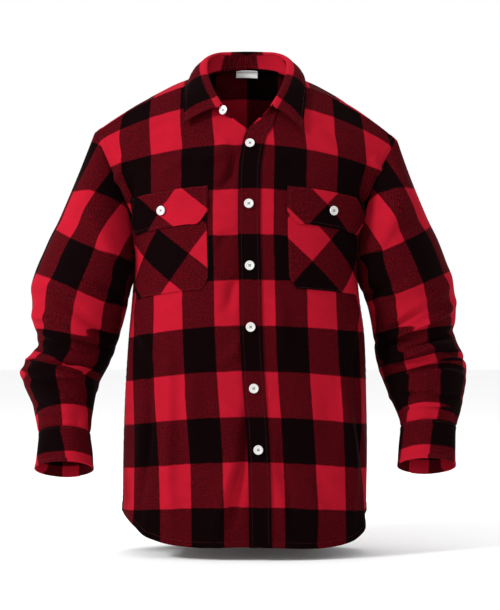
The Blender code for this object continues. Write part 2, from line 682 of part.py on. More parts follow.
def clearance_of(point, solid):
    """Distance of a point from a thin solid's surface, negative inside or close behind it."""
    spot, way, face, distance = solid.find_nearest(Vector(point))
    beside = distance > 2 * CLOTH or (Vector(point) - spot).dot(way) > 0
    return distance if beside else -distance


def raise_above(points, ways, solids, clearance):
    """Moves points along their ways until each has the clearance from every solid."""
    raised = points.reshape(-1, 3).copy()
    ways = ways.reshape(-1, 3)
    for k in range(len(raised)):
        for _ in range(3):
            short = clearance - min(clearance_of(raised[k], solid) for solid in solids)
            raised[k] += ways[k] * max(0.0, short)
    return raised.reshape(points.shape)


def top_of(solid, point, way, lift):
    """The spot on a solid's outer side nearest a point above it, moved out by lift."""
    above = Vector(point) + Vector(way) * 0.012
    spot, face_way, face, distance = solid.find_nearest(above)
    return np.array(spot) + way * lift, np.array(face_way) * 0.3 + way * 0.7


# ---------------------------------------------------------------- neck: stand and collar

YOKE_NECK_POINTS = 14


def neck_boundary(side):
    """Neck seam from the middle of the back to the front corner: points and outward ways."""
    places = []
    for share in np.linspace(1.0, 0.0, YOKE_NECK_POINTS):
        x, cut = yoke_neck(share)
        places.append((BACK, across_at_x(BACK, side, side * x, cut), cut))
    for cut in (0.010, 0.000, -0.010, -0.022, -0.036, NECK_CORNER):
        places.append((FRONT, inner_edge(side, cut), cut))
    points, normals = [], []
    for face, across, cut in places:
        lap = lap_lift(across, cut) * (1 if side == LEFT else -1) if face is FRONT else 0.0
        point, normal = body_point(face, side, across, cut, lap)
        points.append(point)
        normals.append(normal)
    return np.array(points), np.array(normals)


def neck_stations(count):
    """Even stations round the neck from the right front end to the left one."""
    halves = []
    for side in (RIGHT, LEFT):
        points, normals = neck_boundary(side)
        runs = np.concatenate([[0], np.cumsum(np.linalg.norm(np.diff(points, axis=0), axis=1))])
        shares = runs / runs[-1]
        half = []
        stations = np.linspace(0, 1, count)
        crest = shares[YOKE_NECK_POINTS - 1]
        stations[np.argmin(abs(stations - crest))] = crest
        for share in stations:
            seam = np.array([np.interp(share, shares, points[:, axis]) for axis in range(3)])
            outward = unit(np.array([np.interp(share, shares, normals[:, a]) for a in range(3)]))
            at = {name: smooth(STATIONS["along"], STATIONS[name], share) for name in COLLAR[1:]}
            roll = np.array([side * at["roll_x"], at["roll_y"], at["roll_z"]])
            edge = np.array([side * at["edge_x"], at["edge_y"], at["edge_z"]])
            if side == LEFT:
                edge = edge + np.array(LEFT_TIP_SHIFT) * ease((share - 0.6) / 0.4)
            half.append([seam, outward, roll, edge])
        halves.append(half)
    right, left = halves
    return list(reversed(right)) + left[1:]


NECK_COUNT = 13
NECK = neck_stations(NECK_COUNT)
SEAM_LINE, BODY_OUT, ROLL_LINE, EDGE_LINE = (np.array([row[k] for row in NECK]) for k in range(4))
STAND_ROWS = 3
LEAF_ROOT = 0.0045                # height of the leaf's root below the roll
LEAF_SHARES = (0.20, 0.45, 0.72, 1.0)


def ring_outward(line):
    """Level direction away from the neck at each station."""
    level = np.cross(np.gradient(line, axis=0), np.array([0.0, 0.0, 1.0]))
    level[:, 2] = 0.0
    level = unit(level)
    return level * np.sign(level[len(line) // 2, 1])


def stand_grid():
    away = ring_outward(ROLL_LINE)
    along = unit(np.gradient(SEAM_LINE, axis=0))
    flat = unit(np.cross(BODY_OUT, along))
    flat *= np.sign(np.sum(flat * away, axis=1, keepdims=True))
    foot = SEAM_LINE + BODY_OUT * (CLOTH / 2 + SEAM_GAP + 0.0003) + flat * (DOUBLE / 2 + 0.0003)
    top = ROLL_LINE + unit(foot - ROLL_LINE) * LEAF_ROOT
    points, normals = [], []
    for i in range(STAND_ROWS + 1):
        share = i / STAND_ROWS
        bow = 0.0015 * math.sin(math.pi * share)
        points.append(foot * (1 - share) + top * share + away * bow)
        normals.append(unit(flat * (1 - ease(share * 2)) + away * ease(share * 2)))
    return np.array(points), np.array(normals), foot, away


def leaf_grid(foot, away, body_solids):
    """The leaf rises from the stand, rolls over and falls to its free edge."""
    down = unit(foot - ROLL_LINE)
    root = ROLL_LINE + down * (LEAF_ROOT - SEAM_GAP)
    out = unit(away - down * np.sum(away * down, axis=1, keepdims=True))
    rows = [root, ROLL_LINE + down * 0.0012 + out * 0.0003,
            ROLL_LINE - down * 0.0006 + out * 0.0024,
            ROLL_LINE + out * 0.0062 + down * 0.0012]
    start = rows[-1]
    lift = unit(away + np.array([0.0, 0.0, 1.0]))
    for share in LEAF_SHARES:
        bulge = 0.0035 * math.sin(math.pi * share)
        row = start * (1 - share) + EDGE_LINE * share + lift * bulge
        rows.append(raise_above(row, lift, body_solids, DOUBLE / 2 + 0.0022))
    points = np.array(rows)
    normals = grid_normals(points)
    if normals[-2, NECK_COUNT - 1] @ np.array([0, 1, 0.3]) < 0:
        normals = -normals
    normals[0] = -away
    normals[1] = unit(normals[1] - away)
    return points, normals


# ---------------------------------------------------------------- laid pieces and buttons

def laid_grid(side, inner, width, levels, clip, thickness, under):
    """Patch laid on a front and what is on it, its lower corners cut across."""
    ends = (inner, inner + clip[0], inner + width - clip[0], inner + width)
    own = [across for across in front_columns(side, levels[0]) if ends[1] < across < ends[2]]
    columns = sorted([*ends, *own])
    points = np.empty((len(levels), len(columns), 3))
    normals = np.empty_like(points)
    for j, across in enumerate(columns):
        from_edge = min(across - inner, inner + width - across)
        corner = max(0.0, 1 - from_edge / clip[0]) * clip[1]
        for i, cut in enumerate(levels):
            level = cut + corner if i == 0 else cut
            points[i, j], normals[i, j] = body_point(FRONT, side, across, level, CLOTH)
    return raise_above(points, normals, under, thickness / 2 + LAID_GAP), normals


def button_mesh(material):
    """Four-hole button lying on the XY plane, back on z = 0."""
    vertices, faces = [np.zeros(3)], []
    profile = [(r / 1000, h / 1000) for r, h in BUTTON_PROFILE]
    rings = profile[1:-1]
    for radius, height in rings:
        for k in range(BUTTON_SIDES):
            angle = 2 * math.pi * k / BUTTON_SIDES
            vertices.append(np.array([radius * math.cos(angle), radius * math.sin(angle), height]))
    vertices.append(np.array([0.0, 0.0, profile[-1][1]]))
    last = len(vertices) - 1
    for k in range(BUTTON_SIDES):
        n = (k + 1) % BUTTON_SIDES
        faces.append((0, 1 + n, 1 + k))
        for r in range(len(rings) - 1):
            a, b = 1 + r * BUTTON_SIDES + k, 1 + r * BUTTON_SIDES + n
            faces.append((a, b, b + BUTTON_SIDES, a + BUTTON_SIDES))
        top = 1 + (len(rings) - 1) * BUTTON_SIDES
        faces.append((top + k, top + n, last))
    blank = add_solid("button_blank", vertices, faces, material)
    cutters = []
    for dx in (-1, 1):
        for dy in (-1, 1):
            bpy.ops.mesh.primitive_cylinder_add(
                vertices=8, radius=BUTTON_HOLE_RADIUS, depth=0.01,
                location=(dx * BUTTON_HOLE_PLACE, dy * BUTTON_HOLE_PLACE, 0.0))
            cutter = bpy.context.object
            hole = blank.modifiers.new("hole", "BOOLEAN")
            hole.object = cutter
            hole.solver = "EXACT"
            hole.operation = "DIFFERENCE"
            cutters.append(cutter)
    bpy.context.view_layer.update()
    evaluated = blank.evaluated_get(bpy.context.evaluated_depsgraph_get())
    mesh = bpy.data.meshes.new_from_object(evaluated)
    mesh.name = "button"
    for extra in cutters + [blank]:
        bpy.data.objects.remove(extra)
    mesh.set_sharp_from_angle(angle=math.radians(40))
    return mesh


def place_button(name, mesh, point, outward):
    """Sets a button with its back at the point and its face outward."""
    face = Vector(outward).normalized()
    up = Vector((0.0, 0.0, 1.0)) if abs(face.z) < 0.8 else Vector((0.0, 1.0, 0.0))
    side = up.cross(face).normalized()
    frame = Matrix((side, face.cross(side), face)).transposed().to_4x4()
    button = bpy.data.objects.new(name, mesh)
    bpy.context.scene.collection.objects.link(button)
    button.matrix_world = Matrix.Translation(Vector(point)) @ frame


# ---------------------------------------------------------------- assembly

for old in list(bpy.data.objects):
    bpy.data.objects.remove(old)

FLANNEL_COLOUR = (0.30, 0.012, 0.022)
WORDS = {RIGHT: "right", LEFT: "left"}


def add_cloth(name, grid, thickness=CLOTH, tube=False):
    """One piece of flannel; returns its solid for what lies on it."""
    material = make_material("flannel_" + name, FLANNEL_COLOUR, 0.92)
    return cloth_wall(name, *grid, thickness, material, tube)


fronts = {}
for side, word in WORDS.items():
    fronts[side] = add_cloth("front_" + word, front_grid(side))
back = add_cloth("back", back_grid())
yoke = add_cloth("yoke", yoke_grid())
body_solids = (fronts[RIGHT], fronts[LEFT], yoke)

# Button placket: a folded strip laid on the left front's inner edge
placket_cuts = LOW_CUTS + FRONT_ARM_CUTS[:-2] + (-0.081, -0.068, NECK_CORNER)
placket_places = np.empty((len(placket_cuts), len(PLACKET_COLUMNS), 2))
for i, cut in enumerate(placket_cuts):
    for j, column in enumerate(PLACKET_COLUMNS):
        across = inner_edge(LEFT, cut) + column
        place = hemmed(FRONT, LEFT, max(across, 0.0), cut)
        if cut == NECK_CORNER:
            seam_x = np.interp(cut, EDGES["cut"], EDGES["left"]) + column
            place = np.interp(seam_x, EDGES["left"], EDGES["cut"]) - PLACKET_TOP
        placket_places[i, j] = across, place
top_rows = placket_places[-2:].mean(axis=0)
placket_places = np.insert(placket_places, -1, top_rows, axis=0)
placket_points = np.empty((*placket_places.shape[:2], 3))
placket_normals = np.empty_like(placket_points)
for i, row in enumerate(placket_places):
    for j, (across, place) in enumerate(row):
        lift = lap_lift(across, place) + CLOTH + LAID_GAP
        placket_points[i, j], placket_normals[i, j] = body_point(FRONT, LEFT, across, place, lift)
placket_points = raise_above(placket_points, placket_normals, (fronts[LEFT],),
                             CLOTH / 2 + LAID_GAP)
placket = add_cloth("placket", (placket_points, placket_normals))

stand_points, stand_normals, stand_foot, stand_away = stand_grid()
stand = add_cloth("collar_stand", (stand_points, stand_normals), DOUBLE)
add_cloth("collar", leaf_grid(stand_foot, stand_away, (*body_solids, placket)), DOUBLE)

button = button_mesh(make_material("button_plastic", (0.82, 0.81, 0.78), 0.35))
BUTTON_LIFT = SEAM_GAP + 0.0001

# Sleeve placket strips run up from the cuffs on the back of the arm
STRIP_STEPS = (8.6, 11.2)
STRIP_ANGLES = (math.radians(246), math.radians(272))
for side, word in WORDS.items():
    grid, directions, angles = SLEEVES[side]
    seam, across, outward = SEAMS[side]
    grid[0] = seam + across * SEAM_GAP / 2
    directions[0] = outward
    sleeve = add_cloth("sleeve_" + word, (grid, directions), tube=True)
    strip = np.empty((6, 4, 3))
    out = np.empty_like(strip)
    for i, step in enumerate(np.linspace(*STRIP_STEPS, 6)):
        for j, turn in enumerate(np.linspace(*STRIP_ANGLES, 4)):
            for source, target in ((grid, strip), (directions, out)):
                for axis in range(3):
                    down = [np.interp(turn, angles, ring[:, axis]) for ring in source]
                    target[i, j, axis] = np.interp(step, SLEEVE_STEPS, down)
    out = unit(out)
    strip = raise_above(strip + out * CLOTH, out, (sleeve,), CLOTH / 2 + LAID_GAP)
    add_cloth("sleeve_placket_" + word, (strip, out))

# Cuffs: a pressed band that laps over itself at its button
for side, word in WORDS.items():
    angles = CUFF_START + np.linspace(0, 2 * math.pi + CUFF_LAP, 27)
    rings = np.array([ring_points(side, row, angles) for row in CUFF_RINGS[side]])
    outward = grid_normals(rings) * -side
    past = angles - CUFF_START - 2 * math.pi
    step_out = (DOUBLE + LAID_GAP) * ease((past + 0.35) / 0.35)
    rings += outward * step_out[None, :, None]
    cuff = add_cloth("cuff_" + word, (rings, outward), DOUBLE)
    spot, way = rings[1, -3:-1].mean(axis=0), unit(outward[1, -3:-1].sum(axis=0))
    place_button("cuff_button_" + word, button, *top_of(cuff, spot, way, BUTTON_LIFT))

for k in range(FRONT_BUTTONS):
    spot, way = body_point(FRONT, LEFT, 0.0, FIRST_BUTTON - k * BUTTON_PITCH)
    place_button("front_button_%d" % (k + 1), button, *top_of(placket, spot, way, BUTTON_LIFT))

for side, word in WORDS.items():
    pocket = add_cloth("pocket_" + word, laid_grid(
        side, POCKET_INNER[side], POCKET_WIDTH, POCKET_LEVELS, POCKET_CLIP, CLOTH,
        (fronts[side],)))
    flap_points, flap_normals = laid_grid(
        side, POCKET_INNER[side] - 0.001, POCKET_WIDTH + 0.002, FLAP_LEVELS, FLAP_CLIP, DOUBLE,
        (fronts[side],))
    flap_points[:-1] += flap_normals[:-1] * (CLOTH + LAID_GAP)
    flap_points = raise_above(flap_points, flap_normals, (fronts[side], pocket),
                              DOUBLE / 2 + LAID_GAP)
    flap = add_cloth("flap_" + word, (flap_points, flap_normals), DOUBLE)
    spot, way = body_point(FRONT, side, POCKET_INNER[side] + POCKET_WIDTH / 2, FLAP_BUTTON)
    place_button("pocket_button_" + word, button, *top_of(flap, spot, way, BUTTON_LIFT))

spot = stand_points[1, 0] * 0.85 + stand_points[1, 1] * 0.15
way = unit(stand_normals[2, 0] + stand_normals[2, 1])
place_button("collar_button", button, *top_of(stand, spot, way, BUTTON_LIFT + 0.0014))

# Label inside the back neck, hung from the neck seam
label = np.empty((3, 4, 3))
label_out = np.empty_like(label)
for i in range(3):
    for j in range(4):
        across = LABEL_SIZE[0] * (j / 3 - 0.5)
        side = LEFT if across >= 0 else RIGHT
        cut = BACK_NECK - 0.002 - LABEL_SIZE[1] * i / 2
        label[i, j], label_out[i, j] = body_point(BACK, side, abs(across), cut, -2 * CLOTH)
label = raise_above(label, -label_out, (yoke,), LABEL_THICKNESS / 2 + LAID_GAP)
cloth_wall("neck_label", label, label_out, LABEL_THICKNESS,
           make_material("woven_label", (0.85, 0.84, 0.82), 0.7))
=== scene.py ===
"""Looks of a heavy flannel work shirt in a buffalo check, worn hollow form, front towards -Y.

Each piece of cloth is a thin shell on the same cut and sections as its solid, drawn finer and
creased. X runs to the wearer's left, Z up, in metres. Sides are named for the wearer.
"""
import math

import bpy
import numpy as np
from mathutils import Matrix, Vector
from mathutils.bvhtree import BVHTree


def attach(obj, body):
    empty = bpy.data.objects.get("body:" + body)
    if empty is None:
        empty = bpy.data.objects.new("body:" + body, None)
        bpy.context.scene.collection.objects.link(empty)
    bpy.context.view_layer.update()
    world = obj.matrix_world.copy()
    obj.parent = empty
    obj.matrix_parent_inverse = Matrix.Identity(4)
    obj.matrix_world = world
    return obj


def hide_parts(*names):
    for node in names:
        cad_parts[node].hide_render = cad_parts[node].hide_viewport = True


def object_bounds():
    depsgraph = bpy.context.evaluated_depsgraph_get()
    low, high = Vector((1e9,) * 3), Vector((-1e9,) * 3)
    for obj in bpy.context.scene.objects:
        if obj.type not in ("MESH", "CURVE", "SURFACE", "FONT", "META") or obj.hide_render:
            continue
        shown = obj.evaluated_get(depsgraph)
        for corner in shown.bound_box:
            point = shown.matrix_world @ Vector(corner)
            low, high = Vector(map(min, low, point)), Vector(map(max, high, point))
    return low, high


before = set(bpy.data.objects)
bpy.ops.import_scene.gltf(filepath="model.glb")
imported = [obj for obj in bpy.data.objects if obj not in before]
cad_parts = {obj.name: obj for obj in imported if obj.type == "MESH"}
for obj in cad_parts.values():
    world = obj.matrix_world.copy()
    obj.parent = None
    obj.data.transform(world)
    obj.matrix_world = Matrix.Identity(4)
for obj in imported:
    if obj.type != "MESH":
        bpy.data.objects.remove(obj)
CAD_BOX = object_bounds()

# Cloth and making, in metres
CLOTH = 0.0013            # one layer of brushed flannel
DOUBLE = 0.0022           # two pressed layers: collar, stand, cuffs, flaps
SEAM_GAP = 0.0003         # clear space between two sewn pieces
LAP_GAP = 0.0008          # clear space under the outer end of a cuff
LAID_GAP = 0.0004         # clear space between a creased piece and what it lies on
LAP_LIFT = 0.0020         # how far each front leaves the middle surface where they lap
PLACKET_WIDTH = 0.035
PLACKET_COLUMNS = (0.0003, 0.012, 0.0232, PLACKET_WIDTH)
PLACKET_TOP = 0.0055      # how far the placket stops short of the neck seam
FRONT_BUTTONS = 6

# Heights on the flat cut, measured from the shoulder crest down the middle of the body
UNDERARM = -0.286
NECK_CORNER = -0.051      # where the stand ends and the placket edge begins
SHOULDER_SEAM = 0.0187    # front edge of the yoke, just ahead of the crest
YOKE_FRONT = 0.126        # the same seam on the yoke, measured over the crest
YOKE_BACK = -0.100
BACK_NECK = 0.045
NECK_HALF = 0.078
SQUARENESS = 0.84         # below 1, a level is squarer than an ellipse
RIGHT, LEFT = -1, 1
SIDES = ((RIGHT, "right"), (LEFT, "left"))

# A row per level of the body. cut: height on the flat cloth. height: the same level in the
# middle of the worn shirt. droop_r, droop_l: how much lower it hangs at each side. right,
# left: half widths. shift: middle line's x. middle, side: y of the cloth at the middle and at
# the side seam or armhole. turn: degrees the cloth turns between them.
LEVEL = ("cut", "height", "droop_r", "droop_l", "right", "left", "shift", "middle", "side",
         "turn")
FRONT_LEVELS = (
    (-0.728, -0.726, -0.012, -0.012, 0.204, 0.193, 0.021, -0.116, 0.000, 90),   # hem
    (-0.647, -0.646, -0.013, -0.013, 0.200, 0.193, 0.020, -0.118, 0.000, 90),   # seat
    (-0.575, -0.575, -0.017, -0.016, 0.199, 0.194, 0.018, -0.119, 0.000, 90),   # hip
    (-0.478, -0.478, -0.019, -0.016, 0.196, 0.192, 0.011, -0.121, 0.000, 90),   # waist
    (-0.381, -0.381, -0.021, -0.012, 0.190, 0.188, 0.006, -0.125, 0.000, 90),   # ribs
    (-0.286, -0.286, -0.021, -0.014, 0.182, 0.177, 0.0045, -0.126, 0.000, 90),  # underarm
    (-0.230, -0.230, -0.021, -0.019, 0.181, 0.178, 0.003, -0.121, -0.026, 80),
    (-0.164, -0.164, -0.021, -0.022, 0.194, 0.193, 0.0035, -0.108, -0.034, 72),  # chest
    (-0.097, -0.097, -0.0315, -0.037, 0.2175, 0.2115, 0.005, -0.087, -0.036, 52),
    (-0.051, -0.051, -0.045, -0.053, 0.232, 0.228, 0.001, -0.066, -0.028, 32),  # collar bone
    (0.0187, 0.0187, -0.0892, -0.101, 0.243, 0.240, 0.000, -0.016, -0.013, 14),  # shoulder
)
BACK_LEVELS = (
    (-0.735, -0.733, -0.012, -0.012, 0.204, 0.193, 0.004, 0.106, 0.000, 90),    # hem
    (-0.647, -0.646, -0.013, -0.013, 0.200, 0.193, 0.004, 0.108, 0.000, 90),    # seat
    (-0.575, -0.575, -0.017, -0.016, 0.199, 0.194, 0.003, 0.110, 0.000, 90),    # hip
    (-0.478, -0.478, -0.019, -0.016, 0.196, 0.192, 0.002, 0.111, 0.000, 90),    # waist
    (-0.381, -0.381, -0.021, -0.012, 0.190, 0.188, 0.001, 0.113, 0.000, 90),    # ribs
    (-0.286, -0.286, -0.021, -0.014, 0.182, 0.177, 0.000, 0.115, 0.000, 90),    # underarm
    (-0.230, -0.230, -0.021, -0.019, 0.180, 0.175, 0.000, 0.116, 0.043, 74),
    (-0.164, -0.164, -0.021, -0.022, 0.193, 0.189, 0.000, 0.115, 0.056, 60),    # shoulder blade
    (-0.100, -0.100, -0.034, -0.039, 0.216, 0.209, 0.000, 0.110, 0.050, 46),    # yoke seam
    (-0.030, -0.030, -0.064, -0.073, 0.234, 0.229, 0.000, 0.095, 0.035, 32),
    (0.045, 0.041, -0.116, -0.128, 0.241, 0.237, 0.000, 0.064, 0.018, 20),      # back neck
    (0.110, 0.024, -0.093, -0.105, 0.243, 0.240, 0.000, 0.000, 0.000, 14),      # crest
    (0.126, 0.0187, -0.0892, -0.101, 0.243, 0.240, 0.000, -0.016, -0.013, 14),  # shoulder
)

# The fronts' inner edges, as x at a height on the cut: they part below the collar, and from
# the neck corner up they follow the neck seam.
EDGE = ("cut", "right", "left")
INNER_EDGES = (
    (-0.728, 0.0170, -0.0170),
    (-0.112, 0.0170, -0.0170),
    (-0.081, 0.0100, -0.0080),
    (-0.051, -0.0230, 0.0200),
    (-0.025, -0.0490, 0.0490),
    (-0.004, -0.0670, 0.0670),
    (0.0187, -0.0780, 0.0780),
)

# Shirt-tail hem: how far it rises, by distance along the cloth in from the side seam.
HEM_RISE = {
    RIGHT: ((0.000, 0.061), (0.030, 0.056), (0.065, 0.044), (0.102, 0.017), (0.145, 0.005),
            (0.190, 0.000)),
    LEFT: ((0.000, 0.061), (0.015, 0.056), (0.037, 0.044), (0.064, 0.020), (0.104, 0.007),
           (0.150, 0.000)),
}

# A row per ring of a sleeve, from the shoulder down. inner, outer: x and z on the body side
# and the outer side. y: middle. depth: half the front-to-back size. pitch: degrees by which
# the ring's front is raised, as the forearm comes forward.
RING = ("inner_x", "inner_z", "outer_x", "outer_z", "y", "depth", "pitch")
RIGHT_RINGS = (
    (0.188, -0.323, 0.272, -0.140, -0.002, 0.079, 0),
    (0.192, -0.343, 0.300, -0.205, 0.000, 0.079, 0),
    (0.1975, -0.364, 0.327, -0.262, 0.003, 0.078, 0),
    (0.205, -0.392, 0.347, -0.320, 0.006, 0.075, 0),
    (0.213, -0.418, 0.345, -0.365, 0.008, 0.070, 2),
    (0.222, -0.440, 0.338, -0.402, 0.006, 0.064, 6),    # crease over the elbow
    (0.233, -0.460, 0.352, -0.435, 0.000, 0.066, 10),
    (0.241, -0.478, 0.364, -0.459, -0.008, 0.063, 15),  # elbow fold
    (0.2455, -0.502, 0.351, -0.489, -0.020, 0.056, 20),
    (0.2480, -0.524, 0.3386, -0.519, -0.032, 0.050, 22),
    (0.2498, -0.5425, 0.3327, -0.5425, -0.042, 0.0415, 23),
    (0.2510, -0.553, 0.3302, -0.553, -0.047, 0.0375, 23),  # sewn to the cuff
)
LEFT_RINGS = (
    (0.181, -0.314, 0.262, -0.140, -0.002, 0.077, 0),
    (0.188, -0.331, 0.287, -0.200, 0.000, 0.077, 0),
    (0.1965, -0.352, 0.314, -0.258, 0.003, 0.076, 0),
    (0.202, -0.378, 0.333, -0.318, 0.006, 0.073, 0),
    (0.206, -0.404, 0.3375, -0.360, 0.008, 0.069, 2),
    (0.208, -0.425, 0.333, -0.396, 0.006, 0.064, 6),    # crease over the elbow
    (0.212, -0.446, 0.346, -0.424, 0.000, 0.066, 10),
    (0.221, -0.470, 0.353, -0.448, -0.008, 0.063, 15),  # elbow fold
    (0.2306, -0.494, 0.348, -0.483, -0.020, 0.056, 20),
    (0.2396, -0.5153, 0.3426, -0.5124, -0.032, 0.050, 22),
    (0.2453, -0.5326, 0.3346, -0.5336, -0.041, 0.0425, 23),
    (0.2461, -0.5426, 0.3318, -0.5426, -0.046, 0.0375, 23),  # sewn to the cuff
)
CUFF_RINGS = {
    RIGHT: ((0.2510, -0.5536, 0.3302, -0.5536, -0.0473, 0.0375, 23),
            (0.2468, -0.5806, 0.3322, -0.5806, -0.060, 0.038, 23),
            (0.2435, -0.6071, 0.3344, -0.6071, -0.071, 0.0385, 23)),
    LEFT: ((0.2461, -0.5432, 0.3318, -0.5432, -0.0463, 0.0375, 23),
           (0.2429, -0.5727, 0.3307, -0.5727, -0.059, 0.038, 23),
           (0.2393, -0.6022, 0.3292, -0.6022, -0.070, 0.0385, 23)),
}
CUFF_LAP = math.radians(35)
CUFF_START = math.radians(262)    # angle of the cuff's inner end, on the back of the wrist
CUFF_CLIMB = 0.35                 # radians over which the cuff climbs onto its own lap
CUFF_COLUMNS = 27

# A row per station of the collar, from the middle of the back to the front end. along:
# share of the neck seam. roll: where the leaf folds over. edge: its free edge.
COLLAR = ("along", "roll_x", "roll_y", "roll_z", "edge_x", "edge_y", "edge_z")
COLLAR_STATIONS = (
    (0.00, 0.000, 0.062, 0.068, 0.000, 0.094, 0.026),
    (0.24, 0.043, 0.055, 0.066, 0.054, 0.085, 0.026),
    (0.44, 0.0625, 0.027, 0.052, 0.087, 0.042, 0.027),
    (0.62, 0.0640, -0.008, 0.034, 0.0930, -0.006, 0.0165),
    (0.80, 0.0560, -0.040, 0.003, 0.0995, -0.047, -0.020),
    (1.00, 0.0405, -0.067, -0.030, 0.0990, -0.073, -0.060),
)
LEFT_TIP_SHIFT = (-0.012, -0.001, -0.014)   # the left point hangs lower and nearer the middle

# Largest folds. Body: a line on the cut from one end to the other, its half width and height.
FOLD = ("across_a", "cut_a", "across_b", "cut_b", "width", "height")
FRONT_FOLDS = {
    RIGHT: ((0.150, -0.350, 0.205, -0.740, 0.022, 0.0045),
            (0.215, -0.430, 0.235, -0.700, 0.014, -0.0040),
            (0.060, -0.500, 0.070, -0.745, 0.020, 0.0030)),
    LEFT: ((0.170, -0.360, 0.190, -0.740, 0.020, 0.0040),
           (0.215, -0.420, 0.225, -0.700, 0.014, -0.0035),
           (0.055, -0.560, 0.045, -0.745, 0.016, 0.0030)),
}
BACK_FOLDS = {
    RIGHT: ((0.060, -0.330, 0.075, -0.750, 0.024, 0.0050),
            (0.150, -0.300, 0.165, -0.740, 0.022, -0.0045)),
    LEFT: ((0.055, -0.360, 0.060, -0.750, 0.022, 0.0045),
           (0.155, -0.310, 0.150, -0.740, 0.024, -0.0040)),
}
# Sleeve folds: angle round the arm in degrees (0 on the body side, 90 in front, 180 outside),
# ring they cross, half spans, slope in rings per radian, and height.
SLEEVE_FOLD = ("angle", "ring", "spread", "width", "slope", "height")
SLEEVE_FOLDS = {
    RIGHT: ((95, 6.4, 55, 0.55, 0.6, -0.006),
            (110, 7.9, 60, 0.60, 0.4, 0.006),
            (70, 9.2, 50, 0.45, -0.5, -0.004),
            (100, 10.2, 70, 0.40, 0.2, 0.003),
            (265, 6.6, 50, 0.60, -0.4, 0.005)),
    LEFT: ((90, 5.3, 55, 0.50, -0.5, -0.005),
           (95, 6.4, 60, 0.55, -0.3, 0.006),
           (85, 7.6, 55, 0.50, 0.3, -0.006),
           (100, 8.9, 65, 0.50, 0.2, 0.005),
           (265, 6.8, 50, 0.60, 0.4, 0.005)),
}

# Chest pockets, as distances along the cloth from the middle line and heights on the cut
POCKET_INNER = {RIGHT: 0.0655, LEFT: 0.0610}
POCKET_WIDTH = 0.146
POCKET_LEVELS = (-0.320, -0.286, -0.258, -0.230, -0.197, -0.180)
FLAP_LEVELS = (-0.217, -0.197, -0.178, -0.160)
POCKET_CLIP = (0.011, 0.017)      # cut across each lower corner: width, height
FLAP_CLIP = (0.015, 0.017)
LABEL_SIZE = (0.036, 0.021)
LABEL_THICKNESS = 0.0007


# ---------------------------------------------------------------- small helpers

def as_table(names, rows):
    """Columns of a table by name."""
    columns = np.array(rows, float).T
    return dict(zip(names, columns))


def smooth(places, values, at):
    """Values on a smooth curve through the given places, with no overshoot between them."""
    steps = np.diff(values) / np.diff(places)
    slopes = np.gradient(values, places)
    limit = 3 * np.minimum(np.abs(steps[:-1]), np.abs(steps[1:]))
    turning = steps[:-1] * steps[1:] <= 0
    slopes[1:-1] = np.where(turning, 0.0, np.clip(slopes[1:-1], -limit, limit))
    at = np.clip(at, places[0], places[-1])
    i = np.clip(np.searchsorted(places, at, side="right") - 1, 0, len(places) - 2)
    span = places[i + 1] - places[i]
    t = (at - places[i]) / span
    start = (1 + 2 * t) * (1 - t) ** 2 * values[i] + t * (1 - t) ** 2 * span * slopes[i]
    end = t * t * (3 - 2 * t) * values[i + 1] + t * t * (t - 1) * span * slopes[i + 1]
    return start + end


def unit(vectors):
    length = np.linalg.norm(vectors, axis=-1, keepdims=True)
    return vectors / np.maximum(length, 1e-12)


def ease(t):
    t = np.clip(t, 0.0, 1.0)
    return t * t * (3 - 2 * t)


def lengths(points):
    """Distance of each point of a line from its first, along the line."""
    runs = np.linalg.norm(np.diff(points, axis=0), axis=1)
    return np.concatenate([[0.0], np.cumsum(runs)])


def at_place(place, along, values):
    """A line's points or directions at one distance along it."""
    return np.array([np.interp(place, along, values[:, axis]) for axis in range(3)])


FRONT = as_table(LEVEL, FRONT_LEVELS)
BACK = as_table(LEVEL, BACK_LEVELS)
FRONT["outward"], BACK["outward"] = -1, 1
EDGES = as_table(EDGE, INNER_EDGES)
STATIONS = as_table(COLLAR, COLLAR_STATIONS)


# ---------------------------------------------------------------- the body's surface

ROW_STEPS = 48


def row_curve(face, side, cut, steps=ROW_STEPS):
    """Points of one level from the middle line to its side, and distances along them."""
    level = {name: smooth(face["cut"], face[name], cut) for name in LEVEL[1:]}
    turn = math.radians(level["turn"])
    t = np.linspace(0.0, 1.0, steps) * turn
    half = level["right"] if side == RIGHT else level["left"]
    reach = side * half - level["shift"]
    x = level["shift"] + reach * (np.sin(t) / math.sin(turn)) ** SQUARENESS
    fall = np.abs(np.cos(t)) ** SQUARENESS
    bow = (1 - fall) / (1 - fall[-1])
    y = level["middle"] + (level["side"] - level["middle"]) * bow
    droop = level["droop_r"] if side == RIGHT else level["droop_l"]
    z = level["height"] + droop * (x / half) ** 2
    points = np.stack([x, y, z], axis=-1)
    return points, lengths(points)


def row_length(face, side, cut):
    return row_curve(face, side, cut)[1][-1]


def bare_point(face, side, across, cut):
    """Point of the unfolded body cloth. A negative across lies over the middle line."""
    if across < 0:
        side, across = -side, -across
    points, along = row_curve(face, side, cut)
    if across > along[-1]:
        return points[-1] + (points[-1] - points[-2]) / along[1] * (across - along[-1])
    return at_place(across, along, points)


def bare_normal(face, side, across, cut):
    step = 0.004
    low, high = face["cut"][0] + step, face["cut"][-1] - step
    cut = min(max(cut, low), high)
    edge = row_length(face, side, cut) - step
    across = min(across, edge)
    along = bare_point(face, side, across + step, cut) - bare_point(face, side, across - step, cut)
    up = bare_point(face, side, across, cut + step) - bare_point(face, side, across, cut - step)
    return unit(np.cross(along, up) * side * -face["outward"])


